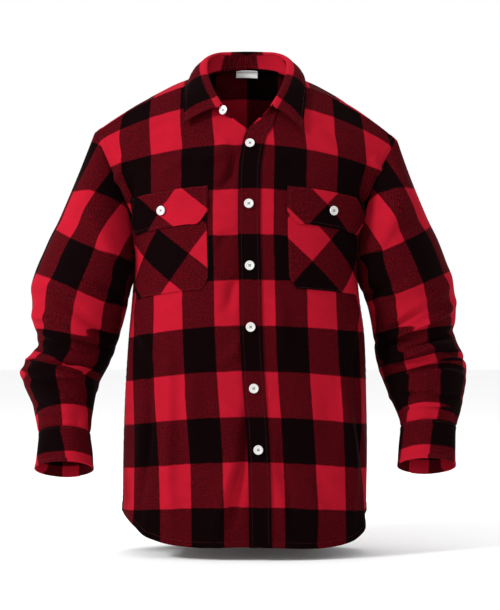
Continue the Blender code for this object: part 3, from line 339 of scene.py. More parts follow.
def fold_height(folds, across, cut):
    """Height of all the folds at one place on the cloth."""
    total = 0.0
    for row in folds:
        fold = dict(zip(FOLD, row))
        start = np.array([fold["across_a"], fold["cut_a"]])
        line = np.array([fold["across_b"], fold["cut_b"]]) - start
        away = np.array([across, cut]) - start
        share = float(away @ line / (line @ line))
        off = np.linalg.norm(away - np.clip(share, 0, 1) * line)
        total += fold["height"] * ease(share * 3.0) * math.exp(-(off / fold["width"]) ** 2)
    return total


def across_at_x(face, side, x, cut):
    """Distance along the cloth, from the middle line, of the place with this x."""
    points, along = row_curve(face, side, cut)
    gap = (x - points[0, 0]) * side
    return float(np.interp(gap, (points[:, 0] - points[0, 0]) * side, along)) if gap > 0 else gap


def body_point(face, side, across, cut, lift=0.0):
    """Point and outward direction of the folded cloth, moved out by lift."""
    folds = (FRONT_FOLDS if face is FRONT else BACK_FOLDS)[side]
    normal = bare_normal(face, side, across, cut)
    middle = ease((across - 0.01) / 0.04) if face is FRONT else 1.0
    height = fold_height(folds, abs(across), cut) * middle
    return bare_point(face, side, across, cut) + normal * (height + lift), normal


def hem_cut(face, side, from_seam):
    """Height of the hem on the cut, by distance in from the side seam."""
    rise = np.interp(from_seam, *zip(*HEM_RISE[side]))
    seam = FRONT["cut"][0] + HEM_RISE[side][0][1]
    return face["cut"][0] + rise * (seam - face["cut"][0]) / HEM_RISE[side][0][1]


def inner_edge(side, cut):
    """Distance along the front from the middle line to its inner edge."""
    name = "right" if side == RIGHT else "left"
    x = np.interp(cut, EDGES["cut"], EDGES[name])
    if cut < NECK_CORNER - 0.022:
        return x * side
    return across_at_x(FRONT, side, x, cut)


def grid_normals(points, tube=False):
    """Outward directions of a grid of points, from its neighbours."""
    if tube:
        along = np.roll(points, -1, axis=1) - np.roll(points, 1, axis=1)
    else:
        along = np.gradient(points, axis=1)
    return unit(np.cross(along, np.gradient(points, axis=0)))


# ---------------------------------------------------------------- sleeves and armholes

FRONT_ARM_CUTS = (-0.286, -0.258, -0.230, -0.197, -0.164, -0.130, -0.097, -0.051, 0.0187)
YOKE_ARM_CUTS = (0.126, 0.110, 0.080, 0.045, 0.005, -0.050, -0.100)
BACK_ARM_CUTS = (-0.100, -0.132, -0.164, -0.197, -0.230, -0.258, -0.286)
SLEEVE_STEPS = (0.0, 0.5, 1.1, 1.9, 2.8, 3.7, 4.5, 5.2, 5.8, 6.4, 7.0, 7.5, 8.0, 8.7, 9.5, 10.3,
                11.0, 12.0)


def armhole_points(side):
    """Seam points round the armhole: underarm, up the front, over the yoke, down the back."""
    ring = []
    for face, cuts in ((FRONT, FRONT_ARM_CUTS), (BACK, YOKE_ARM_CUTS[1:]),
                       (BACK, BACK_ARM_CUTS[1:-1])):
        for cut in cuts:
            ring.append(bare_point(face, side, row_length(face, side, cut), cut))
    return np.array(ring)


def armhole_angles(ring):
    """Angle round the arm of each seam point: 0 at the underarm, 180 on the crest."""
    runs = np.linalg.norm(np.roll(ring, -1, axis=0) - ring, axis=1)
    along = np.concatenate([[0.0], np.cumsum(runs)])
    crest = len(FRONT_ARM_CUTS)
    front = along[:crest + 1] / along[crest] * math.pi
    back = math.pi + (along[crest + 1:] - along[crest]) / (along[-1] - along[crest]) * math.pi
    return np.concatenate([front, back[:-1]])


def ring_points(side, ring, angles):
    """Points of one sleeve ring at the given angles."""
    ring = dict(zip(RING, ring))
    inner = np.array([side * ring["inner_x"], ring["y"], ring["inner_z"]])
    outer = np.array([side * ring["outer_x"], ring["y"], ring["outer_z"]])
    middle, reach = (inner + outer) / 2, (outer - inner) / 2
    pitch = math.radians(ring["pitch"])
    front = np.array([0.0, -math.cos(pitch), math.sin(pitch)]) * ring["depth"]
    return middle - np.cos(angles)[:, None] * reach + np.sin(angles)[:, None] * front


def sleeve_fold_height(table, angles, step):
    """Height of all the folds of a table, at places round and down a sleeve."""
    total = np.zeros_like(angles)
    for row in table:
        fold = dict(zip(SLEEVE_FOLD, row))
        turn = (angles - math.radians(fold["angle"]) + math.pi) % (2 * math.pi) - math.pi
        place = (step - fold["ring"] - fold["slope"] * turn) / fold["width"]
        reach = turn / math.radians(fold["spread"])
        total += fold["height"] * np.exp(-place ** 2 - reach ** 2)
    return total


def sleeve_grid(side):
    """Middle points of a whole sleeve, its outward directions and the ring angles."""
    seam = armhole_points(side)
    angles = armhole_angles(seam)
    table = RIGHT_RINGS if side == RIGHT else LEFT_RINGS
    keys = np.stack([seam] + [ring_points(side, row, angles) for row in table])
    places = np.arange(len(keys), dtype=float)
    grid = np.empty((len(SLEEVE_STEPS), len(angles), 3))
    for i, step in enumerate(SLEEVE_STEPS):
        for j in range(len(angles)):
            for axis in range(3):
                grid[i, j, axis] = smooth(places, keys[:, j, axis], step)
    normals = grid_normals(grid, tube=True) * -side
    fade = np.array(SLEEVE_STEPS) < 11.5
    for i, step in enumerate(SLEEVE_STEPS):
        folds = sleeve_fold_height(SLEEVE_FOLDS[side], angles, step)
        grid[i] += normals[i] * (folds * fade[i])[:, None]
    return grid, grid_normals(grid, tube=True) * -side, angles


def armhole_seam(side, grid):
    """Directions shared by both sides of the armhole seam: the way across it and outward."""
    seam = armhole_points(side)
    ring = ([(FRONT, cut) for cut in FRONT_ARM_CUTS] + [(BACK, cut) for cut in YOKE_ARM_CUTS[1:]]
            + [(BACK, cut) for cut in BACK_ARM_CUTS[1:-1]])
    into_body = []
    for place, (face, cut) in zip(seam, ring):
        inside = bare_point(face, side, row_length(face, side, cut) - 0.02, cut)
        into_body.append(unit(inside - place))
    into_body[0] = np.array([0.0, 0.0, -1.0])
    into_sleeve = unit(grid[1] - seam)
    across = unit(into_sleeve - np.array(into_body))
    along = unit(np.roll(seam, -1, axis=0) - np.roll(seam, 1, axis=0))
    across = unit(across - along * np.sum(across * along, axis=1, keepdims=True))
    outward = unit(np.cross(along, across))
    away = seam - seam.mean(axis=0)
    outward *= np.sign(np.sum(outward * away, axis=1, keepdims=True))
    return seam, across, outward


SLEEVES = {side: sleeve_grid(side) for side in (RIGHT, LEFT)}
SEAMS = {side: armhole_seam(side, SLEEVES[side][0]) for side in (RIGHT, LEFT)}


def seam_entry(side, index):
    """Point and direction on the body's side of one armhole seam point."""
    seam, across, outward = SEAMS[side]
    index %= len(seam)
    return seam[index] - across[index] * SEAM_GAP / 2, outward[index]


# ---------------------------------------------------------------- body panels

LOW_CUTS = (-0.728, -0.680, -0.632, -0.585, -0.533, -0.480, -0.428, -0.378, -0.330)
HEM_ZONE = -0.585                 # below this the levels are drawn up to the curved hem
NECK_CUTS = (-0.081, -0.051, -0.025, -0.004, 0.0187)
FRONT_COLUMNS = 12
BACK_COLUMNS = 12                 # on each half
YOKE_STEPS = 6


def hemmed(face, side, across, cut):
    """Height on the cut with the lowest levels drawn up to the curved hem."""
    if cut >= HEM_ZONE:
        return cut
    from_seam = max(0.0, row_length(face, side, cut) - across)
    share = (cut - LOW_CUTS[0]) / (HEM_ZONE - LOW_CUTS[0])
    hem = hem_cut(face, side, from_seam)
    return hem + (HEM_ZONE - hem) * share


def lap_lift(across, cut):
    """How far the fronts part from the middle surface near the placket."""
    beside = 1 - ease((across - 0.018) / 0.045)
    below_neck = 1 - ease((cut - NECK_CORNER + 0.05) / 0.05)
    return LAP_LIFT * beside * (0.35 + 0.65 * below_neck)


def seam_normal(side, across):
    """Outward direction shared by the two sides of the shoulder seam."""
    front = bare_normal(FRONT, side, across, SHOULDER_SEAM)
    yoke = bare_normal(BACK, side, across, YOKE_FRONT)
    return unit(front + yoke)


def front_columns(side, cut):
    """Places of the front's columns: evenly out to the pocket's outer edge, then to the side."""
    near, length = inner_edge(side, cut), row_length(FRONT, side, cut)
    even = near + (length - near) * (FRONT_COLUMNS - 2) / FRONT_COLUMNS
    low = 1 - ease((cut + 0.164) / 0.06)
    outer = even + (POCKET_INNER[side] + POCKET_WIDTH - even) * low
    return np.concatenate([np.linspace(near, outer, FRONT_COLUMNS - 1),
                           [(outer + length) / 2, length]])


def front_grid(side):
    cuts = LOW_CUTS + FRONT_ARM_CUTS[:-2] + NECK_CUTS
    points = np.empty((len(cuts), FRONT_COLUMNS + 1, 3))
    normals = np.empty_like(points)
    cloth = np.empty((*points.shape[:2], 2))
    armhole = dict(zip(FRONT_ARM_CUTS, range(len(FRONT_ARM_CUTS))))
    for i, cut in enumerate(cuts):
        for j, across in enumerate(front_columns(side, cut)):
            place = hemmed(FRONT, side, across, cut)
            if place != cut:
                across *= row_length(FRONT, side, place) / row_length(FRONT, side, cut)
            if j == FRONT_COLUMNS:
                across -= SEAM_GAP / 2
            if cut == cuts[-1]:
                place -= SEAM_GAP / 2
            lap = lap_lift(across, place) * (1 if side == LEFT else -1)
            points[i, j], normals[i, j] = body_point(FRONT, side, across, place, lap)
            cloth[i, j] = across, place
            if cut == cuts[-1]:
                normals[i, j] = seam_normal(side, across)
        if cut in armhole:
            points[i, -1], normals[i, -1] = seam_entry(side, armhole[cut])
        elif cut > UNDERARM:
            points[i, -1], normals[i, -1] = between_seam_points(side, cut)
        if cut == UNDERARM:
            points[i, -1, 1] -= SEAM_GAP / 2
    return points, normals, cloth


def between_seam_points(side, cut):
    """Point on the armhole seam's straight run between two of its own points."""
    index = int(np.searchsorted(FRONT_ARM_CUTS, cut)) - 1
    low, high = FRONT_ARM_CUTS[index], FRONT_ARM_CUTS[index + 1]
    share = (cut - low) / (high - low)
    first, second = seam_entry(side, index), seam_entry(side, index + 1)
    return (first[0] * (1 - share) + second[0] * share,
            unit(first[1] * (1 - share) + second[1] * share))


def back_grid():
    cuts = LOW_CUTS + tuple(reversed(BACK_ARM_CUTS))
    columns = 2 * BACK_COLUMNS + 1
    points = np.empty((len(cuts), columns, 3))
    normals = np.empty_like(points)
    cloth = np.empty((*points.shape[:2], 2))
    armhole = dict(zip(BACK_ARM_CUTS, range(len(BACK_ARM_CUTS))))
    for i, cut in enumerate(cuts):
        for j in range(columns):
            side = RIGHT if j < BACK_COLUMNS else LEFT
            length = row_length(BACK, side, cut)
            across = abs(j - BACK_COLUMNS) / BACK_COLUMNS * length
            place = hemmed(BACK, side, across, cut)
            if place != cut:
                across *= row_length(BACK, side, place) / length
            if j in (0, columns - 1):
                across -= SEAM_GAP / 2
            if cut == YOKE_BACK:
                place -= SEAM_GAP / 2
            points[i, j], normals[i, j] = body_point(BACK, side, across, place)
            cloth[i, j] = side * across, place
        if cut in armhole:
            index = len(FRONT_ARM_CUTS) + len(YOKE_ARM_CUTS) - 2 + armhole[cut]
            points[i, 0], normals[i, 0] = seam_entry(RIGHT, index)
            points[i, -1], normals[i, -1] = seam_entry(LEFT, index)
        if cut == UNDERARM:
            points[i, (0, -1), 1] += SEAM_GAP / 2
    return points, normals, cloth


def yoke_neck(share):
    """Place on the yoke's neck edge: share 0 at the shoulder seam, 1 at the middle back."""
    straight = 0.17
    crest = 0.110
    if share < straight:
        return NECK_HALF, YOKE_FRONT - (YOKE_FRONT - crest) * share / straight
    angle = (share - straight) / (1 - straight) * math.pi / 2
    return NECK_HALF * math.cos(angle), crest - (crest - BACK_NECK) * math.sin(angle)


def yoke_lines(side):
    """Lines of the yoke from neck to outer edge: (neck across, neck cut, across, cut)."""
    outer = [(row_length(BACK, side, cut), cut) for cut in YOKE_ARM_CUTS]
    width = row_length(BACK, side, YOKE_BACK)
    outer += [(width * (1 - k / YOKE_STEPS), YOKE_BACK) for k in range(1, YOKE_STEPS + 1)]
    lines = []
    for k, (across, cut) in enumerate(outer):
        x, neck_cut = yoke_neck(k / (len(outer) - 1))
        lines.append((across_at_x(BACK, side, side * x, neck_cut), neck_cut, across, cut))
    return lines


def yoke_grid():
    """Horseshoe of lines from the right shoulder seam round the back neck to the left."""
    right, left = yoke_lines(RIGHT), yoke_lines(LEFT)
    lines = [(RIGHT, line) for line in right] + [(LEFT, line) for line in reversed(left[:-1])]
    points = np.empty((YOKE_STEPS + 1, len(lines), 3))
    normals = np.empty_like(points)
    cloth = np.empty((*points.shape[:2], 2))
    for j, (side, (near, near_cut, far, far_cut)) in enumerate(lines):
        for i in range(YOKE_STEPS + 1):
            share = i / YOKE_STEPS
            cut = near_cut + (far_cut - near_cut) * share
            across = near + (far - near) * share
            if far_cut == YOKE_FRONT:
                cut -= SEAM_GAP / 2
            elif far_cut == YOKE_BACK and i == YOKE_STEPS:
                cut += SEAM_GAP / 2
            points[i, j], normals[i, j] = body_point(BACK, side, across, cut)
            cloth[i, j] = side * across, cut
            if far_cut == YOKE_FRONT:
                normals[i, j] = seam_normal(side, across)
        index = j if side == RIGHT else len(lines) - 1 - j
        if index < len(YOKE_ARM_CUTS):
            points[-1, j], normals[-1, j] = seam_entry(side, len(FRONT_ARM_CUTS) - 1 + index)
    return points, normals, cloth


# ---------------------------------------------------------------- laying one piece on another

def clearance_of(point, solid):
    """Distance of a point from a thin solid's surface, negative inside or close behind it."""
    spot, way, _, distance = solid.find_nearest(Vector(point))
    beside = distance > 2 * CLOTH or (Vector(point) - spot).dot(way) > 0
    return distance if beside else -distance


def raise_above(points, ways, solids, clearance):
    """Moves points along their ways until each has the clearance from every solid."""
    raised = points.reshape(-1, 3).copy()
    ways = ways.reshape(-1, 3)
    for k in range(len(raised)):
        for _ in range(3):
            short = clearance - min(clearance_of(raised[k], solid) for solid in solids)
            raised[k] += ways[k] * max(0.0, short)
    return raised.reshape(points.shape)


# ---------------------------------------------------------------- neck: stand and collar

YOKE_NECK_POINTS = 14


def neck_boundary(side):
    """Neck seam from the middle of the back to the front corner: points and outward ways."""
    places = []
    for share in np.linspace(1.0, 0.0, YOKE_NECK_POINTS):
        x, cut = yoke_neck(share)
        places.append((BACK, across_at_x(BACK, side, side * x, cut), cut))
    for cut in (0.010, 0.000, -0.010, -0.022, -0.036, NECK_CORNER):
        places.append((FRONT, inner_edge(side, cut), cut))
    points, normals = [], []
    for face, across, cut in places:
        lap = lap_lift(across, cut) * (1 if side == LEFT else -1) if face is FRONT else 0.0
        point, normal = body_point(face, side, across, cut, lap)
        points.append(point)
        normals.append(normal)
    return np.array(points), np.array(normals)


def neck_stations(count):
    """Even stations round the neck from the right front end to the left one."""
    halves = []
    for side in (RIGHT, LEFT):
        points, normals = neck_boundary(side)
        shares = lengths(points) / lengths(points)[-1]
        half = []
        stations = np.linspace(0, 1, count)
        crest = shares[YOKE_NECK_POINTS - 1]
        stations[np.argmin(abs(stations - crest))] = crest
        for share in stations:
            seam = at_place(share, shares, points)
            outward = unit(at_place(share, shares, normals))
            at = {name: smooth(STATIONS["along"], STATIONS[name], share) for name in COLLAR[1:]}
            roll = np.array([side * at["roll_x"], at["roll_y"], at["roll_z"]])
            edge = np.array([side * at["edge_x"], at["edge_y"], at["edge_z"]])
            if side == LEFT:
                edge = edge + np.array(LEFT_TIP_SHIFT) * ease((share - 0.6) / 0.4)
            half.append([seam, outward, roll, edge])
        halves.append(half)
    right, left = halves
    return list(reversed(right)) + left[1:]


NECK_COUNT = 13
NECK = neck_stations(NECK_COUNT)
SEAM_LINE, BODY_OUT, ROLL_LINE, EDGE_LINE = (np.array([row[k] for row in NECK]) for k in range(4))
STAND_ROWS = 3
LEAF_ROOT = 0.0045                # height of the leaf's root below the roll
LEAF_SHARES = (0.20, 0.45, 0.72, 1.0)


def ring_outward(line):
    """Level direction away from the neck at each station."""
    level = np.cross(np.gradient(line, axis=0), np.array([0.0, 0.0, 1.0]))
    level[:, 2] = 0.0
    level = unit(level)
    return level * np.sign(level[len(line) // 2, 1])


def stand_grid():
    away = ring_outward(ROLL_LINE)
    along = unit(np.gradient(SEAM_LINE, axis=0))
    flat = unit(np.cross(BODY_OUT, along))
    flat *= np.sign(np.sum(flat * away, axis=1, keepdims=True))
    foot = SEAM_LINE + BODY_OUT * (CLOTH / 2 + SEAM_GAP + 0.0003) + flat * (DOUBLE / 2 + 0.0003)
    top = ROLL_LINE + unit(foot - ROLL_LINE) * LEAF_ROOT
    points, normals = [], []
    for i in range(STAND_ROWS + 1):
        share = i / STAND_ROWS
        bow = 0.0015 * math.sin(math.pi * share)
        points.append(foot * (1 - share) + top * share + away * bow)
        normals.append(unit(flat * (1 - ease(share * 2)) + away * ease(share * 2)))
    return np.array(points), np.array(normals), foot, away


def leaf_grid(foot, away, body_solids):
    """The leaf rises from the stand, rolls over and falls to its free edge."""
    down = unit(foot - ROLL_LINE)
    root = ROLL_LINE + down * (LEAF_ROOT - SEAM_GAP)
    out = unit(away - down * np.sum(away * down, axis=1, keepdims=True))
    rows = [root, ROLL_LINE + down * 0.0012 + out * 0.0003,
            ROLL_LINE - down * 0.0006 + out * 0.0024,
            ROLL_LINE + out * 0.0062 + down * 0.0012]
    start = rows[-1]
    lift = unit(away + np.array([0.0, 0.0, 1.0]))
    for share in LEAF_SHARES:
        bulge = 0.0035 * math.sin(math.pi * share)
        row = start * (1 - share) + EDGE_LINE * share + lift * bulge
        rows.append(raise_above(row, lift, body_solids, DOUBLE / 2 + 0.0022))
    points = np.array(rows)
    normals = grid_normals(points)
    if normals[-2, NECK_COUNT - 1] @ np.array([0, 1, 0.3]) < 0:
        normals = -normals
    normals[0] = -away
    normals[1] = unit(normals[1] - away)
    return points, normals


# ---------------------------------------------------------------- laid pieces

def laid_grid(side, inner, width, levels, clip):
    """Patch laid on a front, its lower corners cut across."""
    ends = (inner, inner + clip[0], inner + width - clip[0], inner + width)
    own = [across for across in front_columns(side, levels[0]) if ends[1] < across < ends[2]]
    columns = sorted([*ends, *own])
    points = np.empty((len(levels), len(columns), 3))
    normals = np.empty_like(points)
    cloth = np.empty((*points.shape[:2], 2))
    for j, across in enumerate(columns):
        from_edge = min(across - inner, inner + width - across)
        corner = max(0.0, 1 - from_edge / clip[0]) * clip[1]
        for i, cut in enumerate(levels):
            level = cut + corner if i == 0 else cut
            points[i, j], normals[i, j] = body_point(FRONT, side, across, level, CLOTH)
            cloth[i, j] = across, level
    return points, normals, cloth


# ---------------------------------------------------------------- drawing the cloth finer

BODY_CREASE_DEPTH = 2.7           # scales on the heights of the creases below
SLEEVE_CREASE_DEPTH = 2.0
CREASE_WANDER = 0.0035            # how far a crease strays from its straight line
CREASE_SPREAD = 0.9               # scale on the widths of the creases below
LAST_RING = 12.0
GATHERS_FROM = 9.6                # ring at which the gathers into the cuff begin
GATHER_HEIGHT = 0.0015
FRONT_CREASES = {                 # rows as in FOLD
    RIGHT: ((0.205, -0.320, 0.160, -0.440, 0.011, 0.0032),     # out of the armpit
            (0.165, -0.390, 0.196, -0.700, 0.011, -0.0040),
            (0.135, -0.400, 0.142, -0.715, 0.013, 0.0034),
            (0.092, -0.440, 0.102, -0.600, 0.017, 0.0022),
            (0.012, -0.105, 0.048, -0.172, 0.010, -0.0032),    # beside the top buttons
            (0.030, -0.090, 0.085, -0.132, 0.012, 0.0022),
            (0.012, -0.225, 0.055, -0.262, 0.010, -0.0018),
            (0.012, -0.300, 0.045, -0.360, 0.011, -0.0026),
            (0.010, -0.395, 0.050, -0.445, 0.010, 0.0018),
            (0.010, -0.500, 0.046, -0.700, 0.012, -0.0042),    # beside the last button
            (0.024, -0.560, 0.078, -0.722, 0.014, 0.0034),
            (0.188, -0.120, 0.228, -0.205, 0.011, -0.0034),    # along the armhole
            (0.205, -0.085, 0.238, -0.140, 0.010, 0.0026),
            (0.100, -0.035, 0.175, -0.062, 0.014, -0.0016),
            (0.070, -0.110, 0.150, -0.125, 0.013, 0.0016)),
    LEFT: ((0.200, -0.310, 0.165, -0.420, 0.010, 0.0028),
           (0.172, -0.400, 0.205, -0.705, 0.012, -0.0038),
           (0.150, -0.430, 0.160, -0.690, 0.011, 0.0030),
           (0.045, -0.120, 0.090, -0.145, 0.011, -0.0018),
           (0.040, -0.330, 0.060, -0.440, 0.013, 0.0022),
           (0.036, -0.540, 0.050, -0.715, 0.011, -0.0030),
           (0.075, -0.600, 0.090, -0.720, 0.014, 0.0026),
           (0.110, -0.450, 0.118, -0.580, 0.016, -0.0018),
           (0.185, -0.100, 0.222, -0.190, 0.011, -0.0034),
           (0.205, -0.075, 0.236, -0.120, 0.010, 0.0026),
           (0.090, -0.040, 0.160, -0.060, 0.015, -0.0014)),
}
BACK_CREASES = (
    (-0.150, -0.140, -0.060, -0.210, 0.013, 0.0026), (0.155, -0.135, 0.070, -0.200, 0.012, 0.0026),
    (-0.175, -0.240, -0.080, -0.340, 0.014, -0.0030), (0.180, -0.250, 0.095, -0.330, 0.014, -0.0030),
    (-0.120, -0.330, -0.135, -0.690, 0.015, 0.0036), (0.115, -0.350, 0.110, -0.700, 0.016, 0.0034),
    (-0.090, -0.400, -0.098, -0.715, 0.012, -0.0036), (0.080, -0.380, 0.086, -0.715, 0.013, -0.0036),
    (-0.020, -0.420, -0.012, -0.715, 0.016, 0.0030), (0.030, -0.460, 0.036, -0.715, 0.013, -0.0028),
    (-0.185, -0.420, -0.190, -0.690, 0.012, 0.0028), (0.190, -0.430, 0.185, -0.680, 0.011, 0.0026),
)
YOKE_CREASES = (
    (-0.200, 0.060, -0.120, 0.095, 0.014, -0.0018), (0.205, 0.060, 0.125, 0.100, 0.013, -0.0018),
    (-0.120, 0.020, -0.030, -0.010, 0.016, 0.0018), (0.130, 0.020, 0.040, -0.015, 0.015, 0.0016),
)
# Sleeves: angle round the arm and ring as in SLEEVE_FOLD
SLEEVE_CREASES = {
    RIGHT: ((60, 0.9, 32, 0.30, 0.8, 0.0028), (105, 1.5, 50, 0.32, 0.6, -0.0024),
            (35, 2.3, 32, 0.30, 0.6, -0.0034), (75, 2.9, 38, 0.28, 0.5, 0.0028),
            (125, 3.6, 42, 0.24, 0.5, 0.0034), (70, 4.2, 45, 0.25, -0.4, -0.0042),
            (140, 4.9, 36, 0.22, 0.3, 0.0036), (60, 5.5, 42, 0.22, 0.5, -0.0038),
            (110, 5.8, 52, 0.22, -0.3, 0.0046), (150, 6.5, 34, 0.20, -0.4, -0.0040),
            (95, 7.2, 46, 0.22, 0.4, -0.0050), (130, 7.5, 42, 0.20, -0.5, 0.0042),
            (60, 8.2, 36, 0.22, 0.3, 0.0036), (120, 8.8, 45, 0.22, -0.4, -0.0038),
            (80, 9.7, 32, 0.22, 0.6, 0.0030), (132, 10.0, 30, 0.20, -0.5, -0.0030),
            (250, 3.2, 45, 0.28, 0.5, 0.0036), (290, 4.4, 42, 0.25, -0.4, -0.0036),
            (240, 5.4, 46, 0.24, 0.4, 0.0042), (280, 6.2, 50, 0.24, -0.3, -0.0046),
            (250, 7.4, 45, 0.22, 0.4, 0.0042), (300, 8.4, 40, 0.22, -0.4, 0.0034),
            (235, 9.4, 34, 0.20, 0.5, -0.0030)),
    LEFT: ((65, 0.8, 32, 0.30, 0.8, 0.0026), (110, 1.6, 48, 0.30, 0.6, -0.0024),
           (35, 2.4, 32, 0.28, 0.7, -0.0036), (80, 3.2, 42, 0.26, 0.5, 0.0030),
           (130, 4.0, 40, 0.24, -0.4, 0.0036), (75, 4.5, 46, 0.22, -0.5, -0.0046),
           (110, 5.0, 52, 0.20, -0.4, 0.0048), (60, 5.7, 42, 0.22, 0.4, -0.0042),
           (120, 6.2, 46, 0.20, -0.4, -0.0046), (90, 6.9, 52, 0.22, -0.3, 0.0052),
           (140, 7.3, 36, 0.20, 0.4, -0.0040), (80, 8.1, 45, 0.22, 0.3, -0.0046),
           (115, 8.5, 42, 0.20, 0.2, 0.0042), (70, 9.4, 36, 0.20, 0.4, 0.0032),
           (130, 9.8, 34, 0.20, -0.4, -0.0032), (95, 10.5, 30, 0.16, 0.2, 0.0024),
           (245, 3.4, 45, 0.28, -0.5, 0.0036), (285, 4.6, 42, 0.25, 0.4, -0.0036),
           (245, 5.6, 46, 0.24, -0.4, 0.0042), (275, 6.5, 50, 0.24, 0.3, -0.0046),
           (255, 7.6, 45, 0.22, -0.4, 0.0042), (300, 8.6, 40, 0.22, 0.4, 0.0034),
           (235, 9.5, 34, 0.20, -0.5, -0.0030)),
}
# What an edge does: height of the band beside it, band's width, depth of the seam's dip
EDGE_KIND = {"hem": (0.0007, 0.011, 0.0), "felled": (0.0006, 0.009, 0.0010),
             "seam": (0.0, 0.009, 0.0011), "pressed": (0.0005, 0.004, 0.0)}
PUCKER = 0.00028                  # height of the small puckers along sewn edges
PUCKER_PITCH = 0.0105
BAND_STEP = 0.0025                # width of the step where a turned band ends
DIP_WIDTH = 0.0022                # width of a seam's dip


def spline(values, at, closed=False):
    """Smooth curve through evenly numbered values, read at the given numbers."""
    if closed:
        values = np.concatenate([values, values[:1]])
        slopes = np.gradient(values, axis=0)
        slopes[0] = slopes[-1] = (values[1] - values[-2]) / 2
    else:
        slopes = np.gradient(values, axis=0)
    i = np.clip(at.astype(int), 0, len(values) - 2)
    t = (at - i).reshape(-1, *([1] * (values.ndim - 1)))
    start = (1 + 2 * t) * (1 - t) ** 2 * values[i] + t * (1 - t) ** 2 * slopes[i]
    return start + t * t * (3 - 2 * t) * values[i + 1] + t * t * (t - 1) * slopes[i + 1]


def finer(grid, rows, columns, closed=False):
    """The same surface with more rows and columns; a closed one repeats its first column."""
    last = grid.shape[1] - (0 if closed else 1)
    tall = spline(grid, np.linspace(0, grid.shape[0] - 1, rows))
    wide = spline(tall.swapaxes(0, 1), np.linspace(0, last, columns), closed)
    return wide.swapaxes(0, 1)


def crease_height(table, across, cut):
    """Height of all the creases of a panel, at arrays of places on its cut."""
    total = np.zeros_like(across)
    for number, row in enumerate(table):
        crease = dict(zip(FOLD, row))
        run = crease["across_b"] - crease["across_a"]
        fall = crease["cut_b"] - crease["cut_a"]
        length = math.hypot(run, fall)
        from_a, below_a = across - crease["across_a"], cut - crease["cut_a"]
        share = (from_a * run + below_a * fall) / length ** 2
        off = (from_a * fall - below_a * run) / length
        off = off + CREASE_WANDER * np.sin(7 * share + 1.7 * number)
        fade = np.sin(math.pi * np.clip(share, 0, 1)) ** 0.8
        total += crease["height"] * fade * np.exp(-(off / (CREASE_SPREAD * crease["width"])) ** 2)
    return BODY_CREASE_DEPTH * total


def sleeve_crease_height(side, angle, step):
    """Height of a sleeve's small creases, and of the gathers into its cuff."""
    total = sleeve_fold_height(SLEEVE_CREASES[side], angle, step)
    near_cuff = ease((step - GATHERS_FROM) / 1.6) * ease((LAST_RING - step) / 0.45)
    gathers = np.sin(angle * 11 + 0.8 * np.sin(angle * 3)) * (0.6 + 0.4 * np.sin(angle * 2 + 1))
    fade = ease((LAST_RING - step) / 0.4) * ease(step / 0.3)
    return SLEEVE_CREASE_DEPTH * total * fade + GATHER_HEIGHT * near_cuff * gathers


def edge_distances(points, edge):
    """Distance of every point from one edge of the grid, and its place along that edge."""
    axis = 0 if edge in ("top", "bottom") else 1
    flip = edge in ("top", "right")
    grid = np.flip(points, axis) if flip else points
    runs = np.linalg.norm(np.diff(grid, axis=axis), axis=-1)
    start = np.zeros_like(np.take(runs, [0], axis=axis))
    away = np.concatenate([start, np.cumsum(runs, axis=axis)], axis=axis)
    away = np.flip(away, axis) if flip else away
    along = lengths(np.take(grid, 0, axis=axis))
    along = along[None, :] if axis == 0 else along[:, None]
    return away, np.broadcast_to(along, away.shape)


def edge_height(points, edges):
    """Height of seam bands, hems and their puckers, for edges given as {edge: kind}."""
    total = np.zeros(points.shape[:2])
    for edge, kind in edges.items():
        height, width, dip = EDGE_KIND[kind]
        away, along = edge_distances(points, edge)
        total += height * (1 - ease((away - width) / BAND_STEP))
        total -= dip * np.exp(-(away / DIP_WIDTH) ** 2)
        wave = np.sin(2 * math.pi * along / PUCKER_PITCH + 1.9 * np.sin(along * 47))
        strength = 0.6 + 0.4 * np.sin(along * 61 + 0.7)
        near = np.exp(-((away - width) / (0.8 * width)) ** 2) * ease(away / 0.004)
        total += PUCKER * wave * strength * near
    return total


# ---------------------------------------------------------------- the check and materials

STRIPE = 0.0516                   # width of a stripe of one colour along the warp
BAND = 0.0711                     # height of a band of one colour along the weft
FIRST_BAND = -0.0955              # height on the cut where the top dark chest band begins
FRONT_STRIPE = {RIGHT: 0.056, LEFT: 0.0386}    # where the first dark stripe begins
STAND_STRIPE = -0.0363
BACK_BAND = -0.010                # where the dark band of the yoke begins
BIAS = {
    ("pocket", RIGHT): (0.148, -0.216), ("flap", RIGHT): (0.112, -0.155),
    ("pocket", LEFT): (0.099, -0.2745), ("flap", LEFT): (0.124, -0.1817),
}
BIAS_START = {("pocket", RIGHT): 0.0, ("flap", RIGHT): 0.5, ("pocket", LEFT): 0.0,
              ("flap", LEFT): 0.0}
BIAS_DOWN, BIAS_SIDE = (0.755, -0.656), (0.656, 0.755)


def as_check(across, down):
    """Check coordinates from metres: whole numbers begin a dark stripe or band."""
    return np.stack([across / (2 * STRIPE), down / (2 * BAND)], axis=-1)


def bias_check(kind, side, across, cut):
    """Check coordinates of a piece cut on the bias."""
    corner_across, corner_cut = BIAS[kind, side]
    out, up = across - corner_across, cut - corner_cut
    if side == RIGHT:
        band = -out * BIAS_DOWN[0] + up * BIAS_DOWN[1]
        stripe = out * BIAS_SIDE[0] - up * BIAS_SIDE[1]
    else:
        band = out * BIAS_DOWN[0] + up * BIAS_DOWN[1]
        stripe = -out * BIAS_SIDE[0] - up * BIAS_SIDE[1]
    return BIAS_START[kind, side] + as_check(stripe, band)


